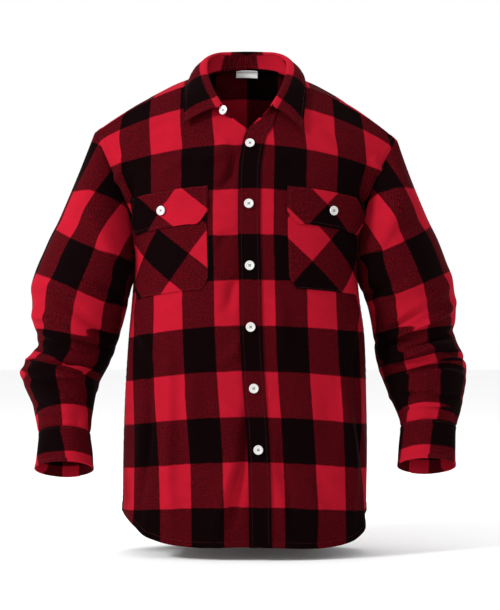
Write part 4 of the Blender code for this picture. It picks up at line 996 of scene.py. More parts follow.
class Nodes:
    """Short way of writing a material's node tree."""

    def __init__(self, name):
        self.material = bpy.data.materials.new(name)
        self.material.use_nodes = True
        self.tree = self.material.node_tree
        self.shader = self.tree.nodes["Principled BSDF"]

    def link(self, source, target):
        self.tree.links.new(source, target)

    def feed(self, socket, value):
        if isinstance(value, (int, float, tuple)):
            socket.default_value = value
        else:
            self.link(value, socket)

    def math(self, operation, a, b=0.0, c=0.0, clamp=False):
        node = self.tree.nodes.new("ShaderNodeMath")
        node.operation = operation
        node.use_clamp = clamp
        for socket, value in zip(node.inputs, (a, b, c)):
            self.feed(socket, value)
        return node.outputs[0]

    def noise(self, vector, scale, detail=2.0, roughness=0.5):
        node = self.tree.nodes.new("ShaderNodeTexNoise")
        node.inputs["Scale"].default_value = scale
        node.inputs["Detail"].default_value = detail
        node.inputs["Roughness"].default_value = roughness
        self.link(vector, node.inputs["Vector"])
        return node.outputs["Fac"]

    def mix(self, share, a, b):
        node = self.tree.nodes.new("ShaderNodeMix")
        node.data_type = "RGBA"
        self.feed(node.inputs["Factor"], share)
        self.feed(node.inputs[6], a)
        self.feed(node.inputs[7], b)
        return node.outputs[2]

    def bump(self, height, strength, distance):
        node = self.tree.nodes.new("ShaderNodeBump")
        node.inputs["Strength"].default_value = strength
        node.inputs["Distance"].default_value = distance
        self.link(height, node.inputs["Height"])
        self.link(node.outputs["Normal"], self.shader.inputs["Normal"])


RED_YARN = (0.325, 0.0058, 0.0165, 1.0)
DARK_YARN = (0.0024, 0.0004, 0.0006, 1.0)
TWILL = 0.0026                    # pitch of the twill lines
CHECK_SHARPNESS = 11.0            # how quickly one colour gives way to the other
CHECK_WANDER = 0.016              # how far the check's edges stray, in repeats
MIXED_RED = 0.030                 # red seen between the twill lines where the colours cross
TWILL_RED = 0.24                  # more of it seen on them
GRAIN_RED = 0.55                  # and how much of it comes and goes with the yarn's grain
SHADE, SHADE_CHANGE = 0.97, 0.30  # brightness of the cloth and how much it varies


def flannel_material():
    """Brushed cotton twill woven in a red and near-black buffalo check."""
    n = Nodes("flannel_check")
    uv = n.tree.nodes.new("ShaderNodeUVMap")
    uv.uv_map = "check"
    metres = n.tree.nodes.new("ShaderNodeVectorMath")
    metres.operation = "MULTIPLY"
    n.link(uv.outputs["UV"], metres.inputs[0])
    metres.inputs[1].default_value = (2 * STRIPE, 2 * BAND, 1.0)
    cloth = metres.outputs[0]
    split = n.tree.nodes.new("ShaderNodeSeparateXYZ")
    n.link(uv.outputs["UV"], split.inputs[0])
    wander = n.math("MULTIPLY_ADD", n.noise(cloth, 55.0), CHECK_WANDER, -CHECK_WANDER / 2)
    red = []
    for axis in (0, 1):
        place = n.math("ADD", split.outputs[axis], wander)
        wave = n.math("SINE", n.math("MULTIPLY", place, 2 * math.pi))
        red.append(n.math("MULTIPLY_ADD", wave, -CHECK_SHARPNESS, 0.5, clamp=True))
    both = n.math("MULTIPLY", red[0], red[1])
    either = n.math("MAXIMUM", red[0], red[1])
    mixed = n.math("SUBTRACT", either, both)

    threads = n.tree.nodes.new("ShaderNodeSeparateXYZ")
    n.link(cloth, threads.inputs[0])
    diagonal = n.math("ADD", threads.outputs[0], threads.outputs[1])
    fuzz = n.math("MULTIPLY", n.noise(cloth, 700.0, 3.0, 0.6), 4.0)
    turn = n.math("MULTIPLY_ADD", diagonal, 2 * math.pi / TWILL, fuzz)
    twill = n.math("MULTIPLY_ADD", n.math("SINE", turn), 0.5, 0.5)
    speckle = n.noise(cloth, 420.0, 4.0, 0.65)
    cloudy = n.noise(cloth, 38.0, 3.0, 0.55)
    grain = n.noise(cloth, 400.0, 2.0, 0.5)
    shown = n.math("MULTIPLY_ADD", twill, TWILL_RED, MIXED_RED)
    shown = n.math("MULTIPLY_ADD", n.math("SUBTRACT", grain, 0.5), GRAIN_RED, shown, clamp=True)
    share = n.math("MULTIPLY_ADD", mixed, shown, both, clamp=True)
    colour = n.mix(share, DARK_YARN, RED_YARN)
    shade = n.math("MULTIPLY_ADD", n.math("SUBTRACT", cloudy, 0.5), SHADE_CHANGE, SHADE)
    shade = n.math("MULTIPLY_ADD", n.math("SUBTRACT", speckle, 0.5), SHADE_CHANGE, shade)
    level = n.tree.nodes.new("ShaderNodeHueSaturation")
    n.link(colour, level.inputs["Color"])
    n.link(shade, level.inputs["Value"])
    n.link(level.outputs[0], n.shader.inputs["Base Color"])
    n.link(n.math("MULTIPLY_ADD", cloudy, 0.12, 0.84), n.shader.inputs["Roughness"])
    n.shader.inputs["Specular IOR Level"].default_value = 0.02
    n.shader.inputs["Sheen Weight"].default_value = 0.01
    n.shader.inputs["Sheen Roughness"].default_value = 0.45
    n.shader.inputs["Sheen Tint"].default_value = (0.9, 0.25, 0.25, 1.0)
    nap = n.math("MULTIPLY_ADD", speckle, 0.8, n.math("MULTIPLY", twill, 0.5))
    n.bump(nap, 0.45, 0.0006)
    return n.material


def thread_material(name, colour):
    """Twisted sewing thread."""
    n = Nodes(name)
    where = n.tree.nodes.new("ShaderNodeTexCoord").outputs["Object"]
    fuzz = n.noise(where, 900.0, 2.0)
    dark = tuple(0.55 * part for part in colour[:3]) + (1.0,)
    n.link(n.mix(fuzz, dark, colour), n.shader.inputs["Base Color"])
    n.shader.inputs["Roughness"].default_value = 0.7
    n.bump(fuzz, 0.3, 0.0002)
    return n.material


def button_material():
    """Glossy white moulded plastic, faintly clouded."""
    n = Nodes("button_moulded")
    where = n.tree.nodes.new("ShaderNodeTexCoord").outputs["Object"]
    cloud = n.noise(where, 260.0, 3.0)
    n.link(n.mix(cloud, (0.50, 0.49, 0.47, 1.0), (0.62, 0.61, 0.60, 1.0)),
           n.shader.inputs["Base Color"])
    n.link(n.math("MULTIPLY_ADD", cloud, 0.15, 0.22), n.shader.inputs["Roughness"])
    n.shader.inputs["Coat Weight"].default_value = 0.25
    n.bump(cloud, 0.1, 0.0002)
    return n.material


LABEL_RIBS, LABEL_PICKS = 0.0011, 0.0008     # pitch of its weave, across and down


def label_material():
    """Bare white woven tape."""
    n = Nodes("label_woven")
    where = n.tree.nodes.new("ShaderNodeTexCoord").outputs["Object"]
    split = n.tree.nodes.new("ShaderNodeSeparateXYZ")
    n.link(where, split.inputs[0])
    ribs = n.math("SINE", n.math("MULTIPLY", split.outputs[0], 2 * math.pi / LABEL_RIBS))
    picks = n.math("SINE", n.math("MULTIPLY", split.outputs[2], 2 * math.pi / LABEL_PICKS))
    weave = n.math("MULTIPLY_ADD", n.math("MULTIPLY", ribs, picks), 0.5, 0.5)
    n.link(n.mix(weave, (0.82, 0.82, 0.81, 1.0), (0.94, 0.94, 0.93, 1.0)),
           n.shader.inputs["Base Color"])
    n.shader.inputs["Roughness"].default_value = 0.6
    n.bump(weave, 0.3, 0.0002)
    return n.material


def floor_material():
    """Matt studio paper."""
    n = Nodes("studio_paper")
    where = n.tree.nodes.new("ShaderNodeTexCoord").outputs["Object"]
    cloud = n.noise(where, 3.0)
    n.link(n.mix(cloud, (0.90, 0.90, 0.90, 1.0), (0.93, 0.93, 0.93, 1.0)),
           n.shader.inputs["Base Color"])
    n.shader.inputs["Roughness"].default_value = 0.95
    n.shader.inputs["Specular IOR Level"].default_value = 0.05
    return n.material


FLANNEL = flannel_material()
SEWING = thread_material("sewing_thread", (0.14, 0.004, 0.010, 1.0))
BUTTON_THREAD = thread_material("button_thread", (0.16, 0.16, 0.165, 1.0))
BUTTON_FINISH = button_material()
LABEL_FINISH = label_material()

# ---------------------------------------------------------------- making pieces


def new_piece(name, vertices, faces, material):
    mesh = bpy.data.meshes.new(name)
    mesh.from_pydata(np.asarray(vertices).tolist(), [], faces)
    mesh.update()
    mesh.shade_smooth()
    mesh.materials.append(material)
    piece = bpy.data.objects.new(name, mesh)
    bpy.context.scene.collection.objects.link(piece)
    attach(piece, "root")
    return piece


def wall_faces(rows, columns):
    """Faces of a closed wall: outer grid, inner grid and the rim between them."""
    under = rows * columns
    a = (np.arange(rows - 1)[:, None] * columns + np.arange(columns - 1)[None, :]).ravel()
    faces = np.stack([a, a + 1, a + columns + 1, a + columns], axis=1)
    inner = faces[:, ::-1] + under
    ring = [*range(columns), *range(2 * columns - 1, under, columns),
            *range(under - 2, under - columns - 1, -1),
            *range(under - 2 * columns, 0, -columns)]
    ahead = ring[1:] + ring[:1]
    rim = [(k, k + under, m + under, m) for k, m in zip(ring, ahead)]
    return [tuple(face) for face in np.concatenate([faces, inner, np.array(rim)]).tolist()]


def flat_size(metres):
    """Width, length and area of a piece's cut, from its own places on the flat cloth."""
    width, length = np.ptp(metres.reshape(-1, 2), axis=0)
    a, b = metres[:-1, :-1] - metres[1:, 1:], metres[1:, :-1] - metres[:-1, 1:]
    area = np.abs(a[..., 0] * b[..., 1] - a[..., 1] * b[..., 0]).sum() / 2
    return float(width), float(length), float(area)


def cloth_piece(name, node, grid, outward, check, thickness):
    """A thin closed shell of flannel about a fine grid of middle points."""
    vertices = np.concatenate([(grid + outward * thickness / 2).reshape(-1, 3),
                               (grid - outward * thickness / 2).reshape(-1, 3)])
    faces = wall_faces(*grid.shape[:2])
    first = vertices[list(faces[0])]
    middle = len(vertices) // 2
    way = np.cross(first[1] - first[0], first[3] - first[0])
    if way @ (vertices[faces[0][0]] - vertices[faces[0][0] + middle]) < 0:
        faces = [face[::-1] for face in faces]
    piece = new_piece(name, vertices, faces, FLANNEL)
    layer = piece.data.uv_layers.new(name="check")
    places = np.concatenate([check.reshape(-1, 2)] * 2)
    corners = np.empty(len(piece.data.loops), int)
    piece.data.loops.foreach_get("vertex_index", corners)
    layer.data.foreach_set("uv", places[corners].ravel())
    piece.data.set_sharp_from_angle(angle=math.radians(60))
    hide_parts(node)
    return BVHTree.FromPolygons(vertices.tolist(), faces)


def fine_normals(grid, coarse, closed):
    """Outward directions of a fine grid, facing the way its coarse ones do."""
    if closed:
        along = np.roll(grid[:, :-1], -1, axis=1) - np.roll(grid[:, :-1], 1, axis=1)
        along = np.concatenate([along, along[:, :1]], axis=1)
    else:
        along = np.gradient(grid, axis=1)
    normals = unit(np.cross(along, np.gradient(grid, axis=0)))
    return normals * np.sign(np.sum(normals * coarse))


def draw_cloth(name, node, solid, size, creases, check, edges, thickness=CLOTH, closed=False,
               above=(), metres=None):
    """Draws one piece finer, creases it, lays it on what is under it and makes its shell."""
    points, normals, cloth = solid
    grid = finer(points, *size, closed)
    coarse = finer(normals, *size, closed)
    cloth = finer(cloth, *size)
    outward = fine_normals(grid, coarse, closed)
    across, cut = cloth[..., 0], cloth[..., 1]
    height = creases(across, cut) + edge_height(grid, edges)
    grid = grid + outward * height[..., None]
    if above:
        grid = raise_above(grid, outward, above, thickness / 2 + LAID_GAP)
    outward = fine_normals(grid, coarse, closed)
    places = cloth if metres is None else metres(grid, cloth)
    tree = cloth_piece(name, node, grid, outward, check(grid, cloth), thickness)
    return grid, outward, tree


def seam_line(grid, outward, edge, distance, start=0.0, end=1.0):
    """Points and outward ways of a line kept at a distance from one edge of a grid."""
    away, _ = edge_distances(grid, edge)
    if edge in ("top", "bottom"):
        grid, outward, away = (part.swapaxes(0, 1) for part in (grid, outward, away))
    if edge in ("top", "right"):
        grid, outward, away = grid[:, ::-1], outward[:, ::-1], away[:, ::-1]
    points, ways = [], []
    count = len(grid)
    for k in range(int(start * (count - 1)), int(end * (count - 1)) + 1):
        points.append(at_place(distance, away[k], grid[k]))
        ways.append(at_place(distance, away[k], outward[k]))
    return np.array(points), unit(np.array(ways))


STITCH = 0.0023
STITCH_PITCH = 0.0032
THREAD_HALF = 0.00024
THREAD_RISE, THREAD_SINK = 0.0004, 0.0003    # a stitch's middle above and below the cloth's face

# How far in from its edge each row of stitches runs
HEM_ROW = 0.009
FELLED_ROWS = (0.0025, 0.0085)
POCKET_ROW = 0.0022
FLAP_ROW, FLAP_TOP_ROW = 0.0045, 0.0020
PLACKET_ROW = 0.0050
SLEEVE_PLACKET_ROW = 0.002
CUFF_SEAM_ROW, CUFF_EDGE_ROW = 0.003, 0.005
STAND_ROW = 0.003
COLLAR_ROW = 0.0055
COLLAR_ROW_START = 0.25           # share of the leaf's ends that has no stitches, by the roll
LABEL_ROW = 0.0015


def sew(name, lines, thickness=CLOTH):
    """Rows of single stitches lying on the cloth, joined into one piece."""
    vertices, faces = [], []
    for points, ways in lines:
        along = lengths(points)
        for start in np.arange(STITCH_PITCH / 2, along[-1] - STITCH, STITCH_PITCH):
            ends = [at_place(place, along, points) for place in (start, start + STITCH)]
            up = unit(at_place(start + STITCH / 2, along, ways))
            side = unit(np.cross(ends[1] - ends[0], up)) * THREAD_HALF
            base = up * (thickness / 2 - 0.00005)
            centre = (ends[0] + ends[1]) / 2 + base
            first = len(vertices)
            vertices += [ends[0] + base, centre + side, centre + up * THREAD_RISE, centre - side,
                         centre - up * THREAD_SINK, ends[1] + base]
            for k in range(4):
                a, b = first + 1 + k, first + 1 + (k + 1) % 4
                faces += [(first, b, a), (first + 5, a, b)]
    return new_piece(name, vertices, faces, SEWING)


# ---------------------------------------------------------------- the pieces

def laid_metres(grid, cloth):
    """Distance from the first column and from the first row, for every point of a grid."""
    away, _ = edge_distances(grid, "left")
    down, _ = edge_distances(grid, "bottom")
    return np.stack([away, down], axis=-1)


def smooth_cloth(across, cut):
    return np.zeros_like(across)


def front_creases(side):
    """The creases of one front, which the pieces laid on it share."""
    def creases(across, cut):
        return crease_height(FRONT_CREASES[side], across, cut)
    return creases


def draw_fronts():
    drawn = {}
    for side, word in SIDES:
        def check(grid, cloth, side=side):
            return as_check(cloth[..., 0] - FRONT_STRIPE[side], FIRST_BAND - cloth[..., 1])

        edges = {"bottom": "hem", "right": "felled", "top": "seam"}
        drawn[side] = draw_cloth("flannel_front_" + word, "front_" + word, front_grid(side),
                                 (170, 100), front_creases(side), check, edges)
        grid, outward, _ = drawn[side]
        lines = [seam_line(grid, outward, "right", row) for row in FELLED_ROWS]
        sew("stitches_front_" + word, [seam_line(grid, outward, "bottom", HEM_ROW), *lines])
    return drawn


def draw_back_and_yoke():
    def back_check(grid, cloth):
        return as_check(cloth[..., 0], FIRST_BAND - cloth[..., 1])

    def yoke_check(grid, cloth):
        return as_check(cloth[..., 0], cloth[..., 1] - BACK_BAND)

    def back_creases(across, cut):
        return crease_height(BACK_CREASES, across, cut)

    def yoke_creases(across, cut):
        return crease_height(YOKE_CREASES, across, cut)

    edges = {"bottom": "hem", "left": "seam", "right": "seam", "top": "seam"}
    back = draw_cloth("flannel_back", "back", back_grid(), (170, 170), back_creases, back_check,
                      edges)
    sew("stitches_back", [seam_line(back[0], back[1], "bottom", HEM_ROW)])
    yoke = draw_cloth("flannel_yoke", "yoke", yoke_grid(), (60, 170), yoke_creases, yoke_check,
                      {"top": "felled"})
    near, far = FELLED_ROWS
    rows = (("top", near), ("top", far), ("left", near), ("right", near))
    sew("stitches_yoke", [seam_line(yoke[0], yoke[1], edge, row) for edge, row in rows])
    return yoke


SLEEVE_FIRST = {RIGHT: math.radians(90), LEFT: math.radians(105)}   # where dark stripes begin
SLEEVE_BAND = -0.1071             # where the cap's dark band begins, from the first ring down
ELBOW_TAKE_UP = 0.055             # cloth hidden in the elbow fold


def sleeve_metres(grid, cloth):
    """Distance round the sleeve and down it, for every point of its grid."""
    runs = np.linalg.norm(np.diff(grid, axis=1), axis=-1)
    around = np.concatenate([np.zeros((len(grid), 1)), np.cumsum(runs, axis=1)], axis=1)
    middles = grid[:, :-1].mean(axis=1)
    axis = unit(np.gradient(middles, axis=0))
    down = lengths(middles)
    down -= np.interp(1.0, cloth[:, 0, 1], down)
    tilt = np.einsum("ijk,ik->ij", grid - middles[:, None, :], axis)
    return np.stack([around, down[:, None] + tilt], axis=-1)


def draw_sleeves():
    drawn = {}
    for side, word in SIDES:
        points, normals, angles = SLEEVES[side]
        seam, across, outward = SEAMS[side]
        points[0] = seam + across * SEAM_GAP / 2
        normals[0] = outward
        turn = np.broadcast_to(np.concatenate([angles, [2 * math.pi]]),
                               (len(SLEEVE_STEPS), len(angles) + 1))
        step = np.broadcast_to(np.array(SLEEVE_STEPS)[:, None], turn.shape)
        cloth = np.stack([turn, step], axis=-1)

        def creases(turn, step, side=side):
            return sleeve_crease_height(side, turn, step)

        def check(grid, cloth, side=side):
            metres = sleeve_metres(grid, cloth)
            first = [np.interp(SLEEVE_FIRST[side], cloth[i, :, 0], metres[i, :, 0])
                     for i in range(len(grid))]
            hidden = ELBOW_TAKE_UP * ease((cloth[..., 1] - 6.9) / 0.7)
            return as_check(metres[..., 0] - np.array(first)[:, None],
                            metres[..., 1] + hidden - SLEEVE_BAND)

        drawn[side] = draw_cloth("flannel_sleeve_" + word, "sleeve_" + word,
                                 (points, normals, cloth), (190, 130), creases, check,
                                 {"bottom": "seam", "top": "seam"}, closed=True,
                                 metres=sleeve_metres)
    return drawn


SLEEVE_PLACKET_STEPS = (8.6, 11.2)     # rings it runs between
SLEEVE_PLACKET_TURN = (246, 272)       # degrees round the arm
SLEEVE_PLACKET_LIFT = 0.0022
SLEEVE_PLACKET_STRIPE = (0.1, 4.29)    # a check coordinate, and the angle in radians it is at
WRIST_RADIUS = 0.05
RING_SPACING = 0.027


def draw_sleeve_plackets(sleeves):
    for side, word in SIDES:
        source, ways, angles = SLEEVES[side]
        steps = np.linspace(*SLEEVE_PLACKET_STEPS, 6)
        turns = np.radians(np.linspace(*SLEEVE_PLACKET_TURN, 4))
        strip = np.empty((len(steps), len(turns), 3))
        out = np.empty_like(strip)
        cloth = np.empty((*strip.shape[:2], 2))
        for i, step in enumerate(steps):
            for j, turn in enumerate(turns):
                cloth[i, j] = turn, step
                for rings, target in ((source, strip), (ways, out)):
                    for axis in range(3):
                        down = [np.interp(turn, angles, ring[:, axis]) for ring in rings]
                        target[i, j, axis] = np.interp(step, SLEEVE_STEPS, down)

        def check(grid, cloth):
            known, angle = SLEEVE_PLACKET_STRIPE
            down = (cloth[..., 1] - SLEEVE_PLACKET_STEPS[0]) * RING_SPACING
            return np.stack([known + (cloth[..., 0] - angle) * WRIST_RADIUS / STRIPE,
                             down / (2 * BAND)], axis=-1)

        solid = (strip + unit(out) * SLEEVE_PLACKET_LIFT, unit(out), cloth)
        grid, outward, _ = draw_cloth("flannel_sleeve_placket_" + word, "sleeve_placket_" + word,
                                      solid, (50, 16), smooth_cloth, check,
                                      {"left": "pressed", "right": "pressed"},
                                      above=(sleeves[side][2],),
                                      metres=laid_metres)
        sew("stitches_sleeve_placket_" + word, [seam_line(grid, outward, edge, SLEEVE_PLACKET_ROW)
                                                for edge in ("left", "right")])


CUFF_STRIPE_START = 2 * math.pi + math.radians(95)
CUFF_BAND_START = 0.029           # how far the dark band has run when the cuff begins


def draw_cuffs():
    for side, word in SIDES:
        angles = CUFF_START + np.linspace(0, 2 * math.pi + CUFF_LAP, CUFF_COLUMNS)
        rings = np.array([ring_points(side, row, angles) for row in CUFF_RINGS[side]])
        outward = grid_normals(rings) * -side
        past = angles - CUFF_START - 2 * math.pi
        step_out = (DOUBLE + LAP_GAP) * ease((past + CUFF_CLIMB) / CUFF_CLIMB)
        rings += outward * step_out[None, :, None]
        shape = rings.shape[:2]
        share = np.broadcast_to(np.linspace(0, 1, shape[0])[:, None], shape)
        cloth = np.stack([np.broadcast_to(angles, shape), share], axis=-1)

        def check(grid, cloth):
            places = laid_metres(grid, cloth)
            first = np.interp(CUFF_STRIPE_START, cloth[0, :, 0], places[0, :, 0])
            return as_check(places[..., 0] - first, places[..., 1] + CUFF_BAND_START)

        def creases(turn, share):
            ripple = np.sin(turn * 5 + 1.3) * np.sin(math.pi * share)
            return 0.0011 * ripple + 0.0007 * np.sin(turn * 2) * share

        drawn = draw_cloth("flannel_cuff_" + word, "cuff_" + word, (rings, outward, cloth),
                           (40, 150), creases, check, {"bottom": "pressed", "top": "pressed"},
                           thickness=DOUBLE, metres=laid_metres)
        sew("stitches_cuff_" + word, [seam_line(drawn[0], drawn[1], "bottom", CUFF_SEAM_ROW),
                                      seam_line(drawn[0], drawn[1], "top", CUFF_EDGE_ROW)],
            DOUBLE)


def placket_solid():
    cuts = LOW_CUTS + FRONT_ARM_CUTS[:-2] + (-0.081, -0.068, NECK_CORNER)
    cloth = np.empty((len(cuts), len(PLACKET_COLUMNS), 2))
    for i, cut in enumerate(cuts):
        for j, column in enumerate(PLACKET_COLUMNS):
            across = inner_edge(LEFT, cut) + column
            place = hemmed(FRONT, LEFT, max(across, 0.0), cut)
            if cut == NECK_CORNER:
                seam_x = np.interp(cut, EDGES["cut"], EDGES["left"]) + column
                place = np.interp(seam_x, EDGES["left"], EDGES["cut"]) - PLACKET_TOP
            cloth[i, j] = across, place
    cloth = np.insert(cloth, -1, cloth[-2:].mean(axis=0), axis=0)
    points = np.empty((*cloth.shape[:2], 3))
    normals = np.empty_like(points)
    for i, row in enumerate(cloth):
        for j, (across, place) in enumerate(row):
            lift = lap_lift(across, place) + CLOTH
            points[i, j], normals[i, j] = body_point(FRONT, LEFT, across, place, lift)
    return points, normals, cloth


def draw_placket(front):
    def check(grid, cloth):
        away, _ = edge_distances(grid, "left")
        return np.stack([0.08 + 0.34 * away / PLACKET_WIDTH,
                         (FIRST_BAND - cloth[..., 1]) / (2 * BAND)], axis=-1)

    drawn = draw_cloth("flannel_placket", "placket", placket_solid(), (220, 20),
                       front_creases(LEFT), check, {"left": "pressed", "right": "pressed"},
                       above=(front,))
    sew("stitches_placket", [seam_line(drawn[0], drawn[1], edge, PLACKET_ROW)
                             for edge in ("left", "right")])
    return drawn


def draw_pockets(fronts):
    for side, word in SIDES:
        def pocket_check(grid, cloth, side=side):
            return bias_check("pocket", side, cloth[..., 0], cloth[..., 1])

        def flap_check(grid, cloth, side=side):
            return bias_check("flap", side, cloth[..., 0], cloth[..., 1])

        edges = {"bottom": "pressed", "left": "pressed", "right": "pressed"}
        solid = laid_grid(side, POCKET_INNER[side], POCKET_WIDTH, POCKET_LEVELS, POCKET_CLIP)
        pocket = draw_cloth("flannel_pocket_" + word, "pocket_" + word, solid, (70, 70),
                            front_creases(side), pocket_check, edges,
                            above=(fronts[side][2],))
        sew("stitches_pocket_" + word,
            [seam_line(pocket[0], pocket[1], edge, POCKET_ROW) for edge in edges])
        solid = laid_grid(side, POCKET_INNER[side] - 0.001, POCKET_WIDTH + 0.002, FLAP_LEVELS,
                          FLAP_CLIP)
        flap = draw_cloth("flannel_flap_" + word, "flap_" + word, solid, (34, 80),
                          front_creases(side), flap_check, edges, thickness=DOUBLE,
                          above=(fronts[side][2], pocket[2]))
        sew("stitches_flap_" + word,
            [seam_line(flap[0], flap[1], edge, FLAP_ROW) for edge in edges]
            + [seam_line(flap[0], flap[1], "top", FLAP_TOP_ROW)], DOUBLE)


def neck_distances():
    """Distance of each neck station from the middle of the back, along the roll."""
    along = lengths(ROLL_LINE)
    return along - along[len(along) // 2]


def draw_neck(solids):
    reach = neck_distances()
    end = reach[-1]
    points, normals, foot, away = stand_grid()
    share = np.broadcast_to(np.linspace(0, 1, len(points))[:, None], points.shape[:2])
    cloth = np.stack([np.broadcast_to(reach, points.shape[:2]), share * 0.035], axis=-1)

    def stand_check(grid, cloth):
        return np.stack([(cloth[..., 0] - STAND_STRIPE) / (2 * STRIPE),
                         np.full(cloth.shape[:2], 0.75) + cloth[..., 1] * 0.5], axis=-1)

    stand = draw_cloth("flannel_collar_stand", "collar_stand", (points, normals, cloth),
                       (24, 190), smooth_cloth, stand_check, {}, thickness=DOUBLE,
                       metres=laid_metres)
    sew("stitches_collar_stand", [seam_line(stand[0], -stand[1], "bottom", STAND_ROW)], DOUBLE)

    leaf_points, leaf_normals = leaf_grid(foot, away, solids)
    fall, _ = edge_distances(leaf_points, "bottom")
    cloth = np.stack([np.broadcast_to(reach, fall.shape), fall], axis=-1)

    def leaf_check(grid, cloth):
        from_back = np.abs(cloth[..., 0])
        stripe = np.interp(from_back, (0, STRIPE / 2, end - 0.070, end - 0.018, end),
                           (0.25, 0.50, 1.0, 1.5, 1.67))
        edge = 0.016 * np.minimum(1.0, from_back / 0.08)
        return np.stack([stripe, (cloth[..., 1] - edge) / (2 * BAND)], axis=-1)

    def leaf_creases(along, fall):
        low = ease((fall - 0.02) / 0.03)
        return 0.0012 * low * np.sin(along * 31 + 0.6) + 0.0008 * low * np.sin(along * 67)

    leaf = draw_cloth("flannel_collar", "collar", (leaf_points, leaf_normals, cloth), (60, 200),
                      leaf_creases, leaf_check, {"top": "pressed"}, thickness=DOUBLE,
                      metres=laid_metres)
    rows = (("top", 0.0), ("left", COLLAR_ROW_START), ("right", COLLAR_ROW_START))
    sew("stitches_collar", [seam_line(leaf[0], leaf[1], edge, COLLAR_ROW, start)
                            for edge, start in rows], DOUBLE)


LABEL_CURL = 0.0012               # how far each row of its points leaves the yoke
LABEL_HALF = 0.0003               # half the thickness of the tape as drawn
LABEL_FINE = (24, 40)


def draw_label(yoke):
    width, drop = LABEL_SIZE
    points = np.empty((3, 5, 3))
    ways = np.empty_like(points)
    for i in range(3):
        for j in range(5):
            across = width * (j / 4 - 0.5)
            side = LEFT if across >= 0 else RIGHT
            cut = BACK_NECK - 0.002 - drop * i / 2
            lift = -2 * CLOTH - LABEL_CURL * i * (0.6 + 0.2 * j)
            points[i, j], ways[i, j] = body_point(BACK, side, abs(across), cut, lift)
    grid, out = finer(points, *LABEL_FINE), unit(finer(ways, *LABEL_FINE))
    grid = raise_above(grid, -out, (yoke,), LABEL_THICKNESS / 2 + LAID_GAP)
    vertices = np.concatenate([(grid + out * LABEL_HALF).reshape(-1, 3),
                               (grid - out * LABEL_HALF).reshape(-1, 3)])
    label = new_piece("woven_neck_label", vertices, wall_faces(*LABEL_FINE), LABEL_FINISH)
    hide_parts("neck_label")
    width, length, area = flat_size(laid_metres(grid, None))
    sew("stitches_neck_label", [seam_line(grid, -out, "bottom", LABEL_ROW)], LABEL_THICKNESS)


BUTTONS = ["collar_button", "pocket_button_right", "pocket_button_left", "cuff_button_right",
           "cuff_button_left"] + ["front_button_%d" % (k + 1) for k in range(FRONT_BUTTONS)]
HOLE_PLACE = 0.0014
THREAD_LIFT = 0.0021              # height of the button's dish above its back
THREAD_WIDE = 0.0005              # half the width of a bundle of button thread
BUNDLE_RIDGES = {1: 0.0006, -1: 0.0009}      # height of each bundle, the second over the first
THREAD_ENDS = 0.0010              # how far a bundle's ends go into the button
THREAD_UNDER = 0.0012             # depth of a bundle below its line
WRIST_X = 0.29                    # a cuff's middle, which its button faces away from


def finish_buttons():
    """Gives every button its plastic, and sews it on with crossed threads."""
    body_middle = np.array([0.0, 0.0, 0.0])
    for name in BUTTONS:
        button = bpy.data.objects[name]
        button.data.materials.clear()
        button.data.materials.append(BUTTON_FINISH)
        spots = np.array([button.matrix_world @ v.co for v in button.data.vertices])
        centre = (spots.max(axis=0) + spots.min(axis=0)) / 2
        _, _, axes = np.linalg.svd(spots - spots.mean(axis=0), full_matrices=False)
        face = axes[2]
        body_middle[2] = centre[2]
        body_middle[0] = math.copysign(WRIST_X, centre[0]) if "cuff" in name else 0.0
        face = face * np.sign(face @ (centre - body_middle))
        up = np.array([0.0, 0.0, 1.0]) if abs(face[2]) < 0.8 else np.array([0.0, 1.0, 0.0])
        side = unit(np.cross(up, face))
        up = np.cross(face, side)
        heights = (spots - centre) @ face
        floor = centre + face * (heights.min() + THREAD_LIFT)
        vertices, faces = [], []
        for slant in (1, -1):
            a = floor + (side + up * slant) * HOLE_PLACE
            b = floor - (side + up * slant) * HOLE_PLACE
            wide = unit(np.cross(b - a, face)) * THREAD_WIDE
            first = len(vertices)
            ridge, end = face * BUNDLE_RIDGES[slant], face * -THREAD_ENDS
            for place, top in ((a, end), (a * 0.75 + b * 0.25, ridge),
                               (a * 0.25 + b * 0.75, ridge), (b, end)):
                vertices += [place + wide + top * 0.3, place + top, place - wide + top * 0.3,
                             place - face * THREAD_UNDER]
            for k in range(3):
                for m in range(4):
                    p, q = first + 4 * k + m, first + 4 * k + (m + 1) % 4
                    faces.append((p, q, q + 4, p + 4))
            faces += [tuple(first + m for m in (3, 2, 1, 0)),
                      tuple(first + 12 + m for m in (0, 1, 2, 3))]
        new_piece(name + "_thread", vertices, faces, BUTTON_THREAD)


# ---------------------------------------------------------------- studio

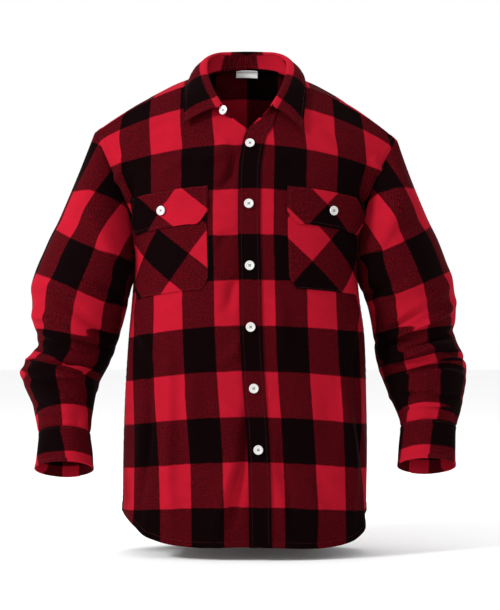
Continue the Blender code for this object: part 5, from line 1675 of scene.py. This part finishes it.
CAMERA_PLACE = (0.005, -3.2, -0.348)
CAMERA_LENS = 116.8
FLOOR_REACH = 9.0
FLOOR_DROP = 0.012                # how far the floor is below the hem
LIT_SPOT = (0.0, 0.0, -0.33)
LIGHTS = (                        # name, place, width of the square, watts
    ("key", (-2.6, -1.6, 1.3), 0.7, 105),
    ("top", (0.2, 0.6, 2.0), 1.4, 14),
)


def place_light(name, place, size, power):
    data = bpy.data.lights.new(name, "AREA")
    data.size = size
    data.energy = power
    light = bpy.data.objects.new(name, data)
    light.location = place
    way = Vector(LIT_SPOT) - Vector(place)
    light.rotation_euler = way.to_track_quat("-Z", "Y").to_euler()
    bpy.context.scene.collection.objects.link(light)


def build_studio():
    scene = bpy.context.scene
    data = bpy.data.cameras.new("camera")
    data.lens = CAMERA_LENS
    camera = bpy.data.objects.new("camera", data)
    camera.location = CAMERA_PLACE
    camera.rotation_euler = (math.pi / 2, 0.0, 0.0)
    scene.collection.objects.link(camera)
    scene.camera = camera
    reach, drop = FLOOR_REACH, CAD_BOX[0][2] - FLOOR_DROP
    corners = [(-reach, -reach, drop), (reach, -reach, drop), (reach, reach, drop),
               (-reach, reach, drop)]
    mesh = bpy.data.meshes.new("studio_floor")
    mesh.from_pydata(corners, [], [(0, 1, 2, 3)])
    mesh.materials.append(floor_material())
    floor = bpy.data.objects.new("studio_floor", mesh)
    scene.collection.objects.link(floor)
    world = bpy.data.worlds.new("studio_air")
    world.use_nodes = True
    air = world.node_tree.nodes["Background"]
    air.inputs["Color"].default_value = (1.0, 1.0, 1.0, 1.0)
    air.inputs["Strength"].default_value = 1.0
    scene.world = world
    scene.view_settings.view_transform = "Standard"
    for light in LIGHTS:
        place_light(*light)


fronts = draw_fronts()
yoke = draw_back_and_yoke()
sleeves = draw_sleeves()
draw_sleeve_plackets(sleeves)
draw_cuffs()
placket = draw_placket(fronts[LEFT][2])
draw_neck((fronts[RIGHT][2], fronts[LEFT][2], yoke[2], placket[2]))
draw_pockets(fronts)
draw_label(yoke[2])
finish_buttons()
build_studio()
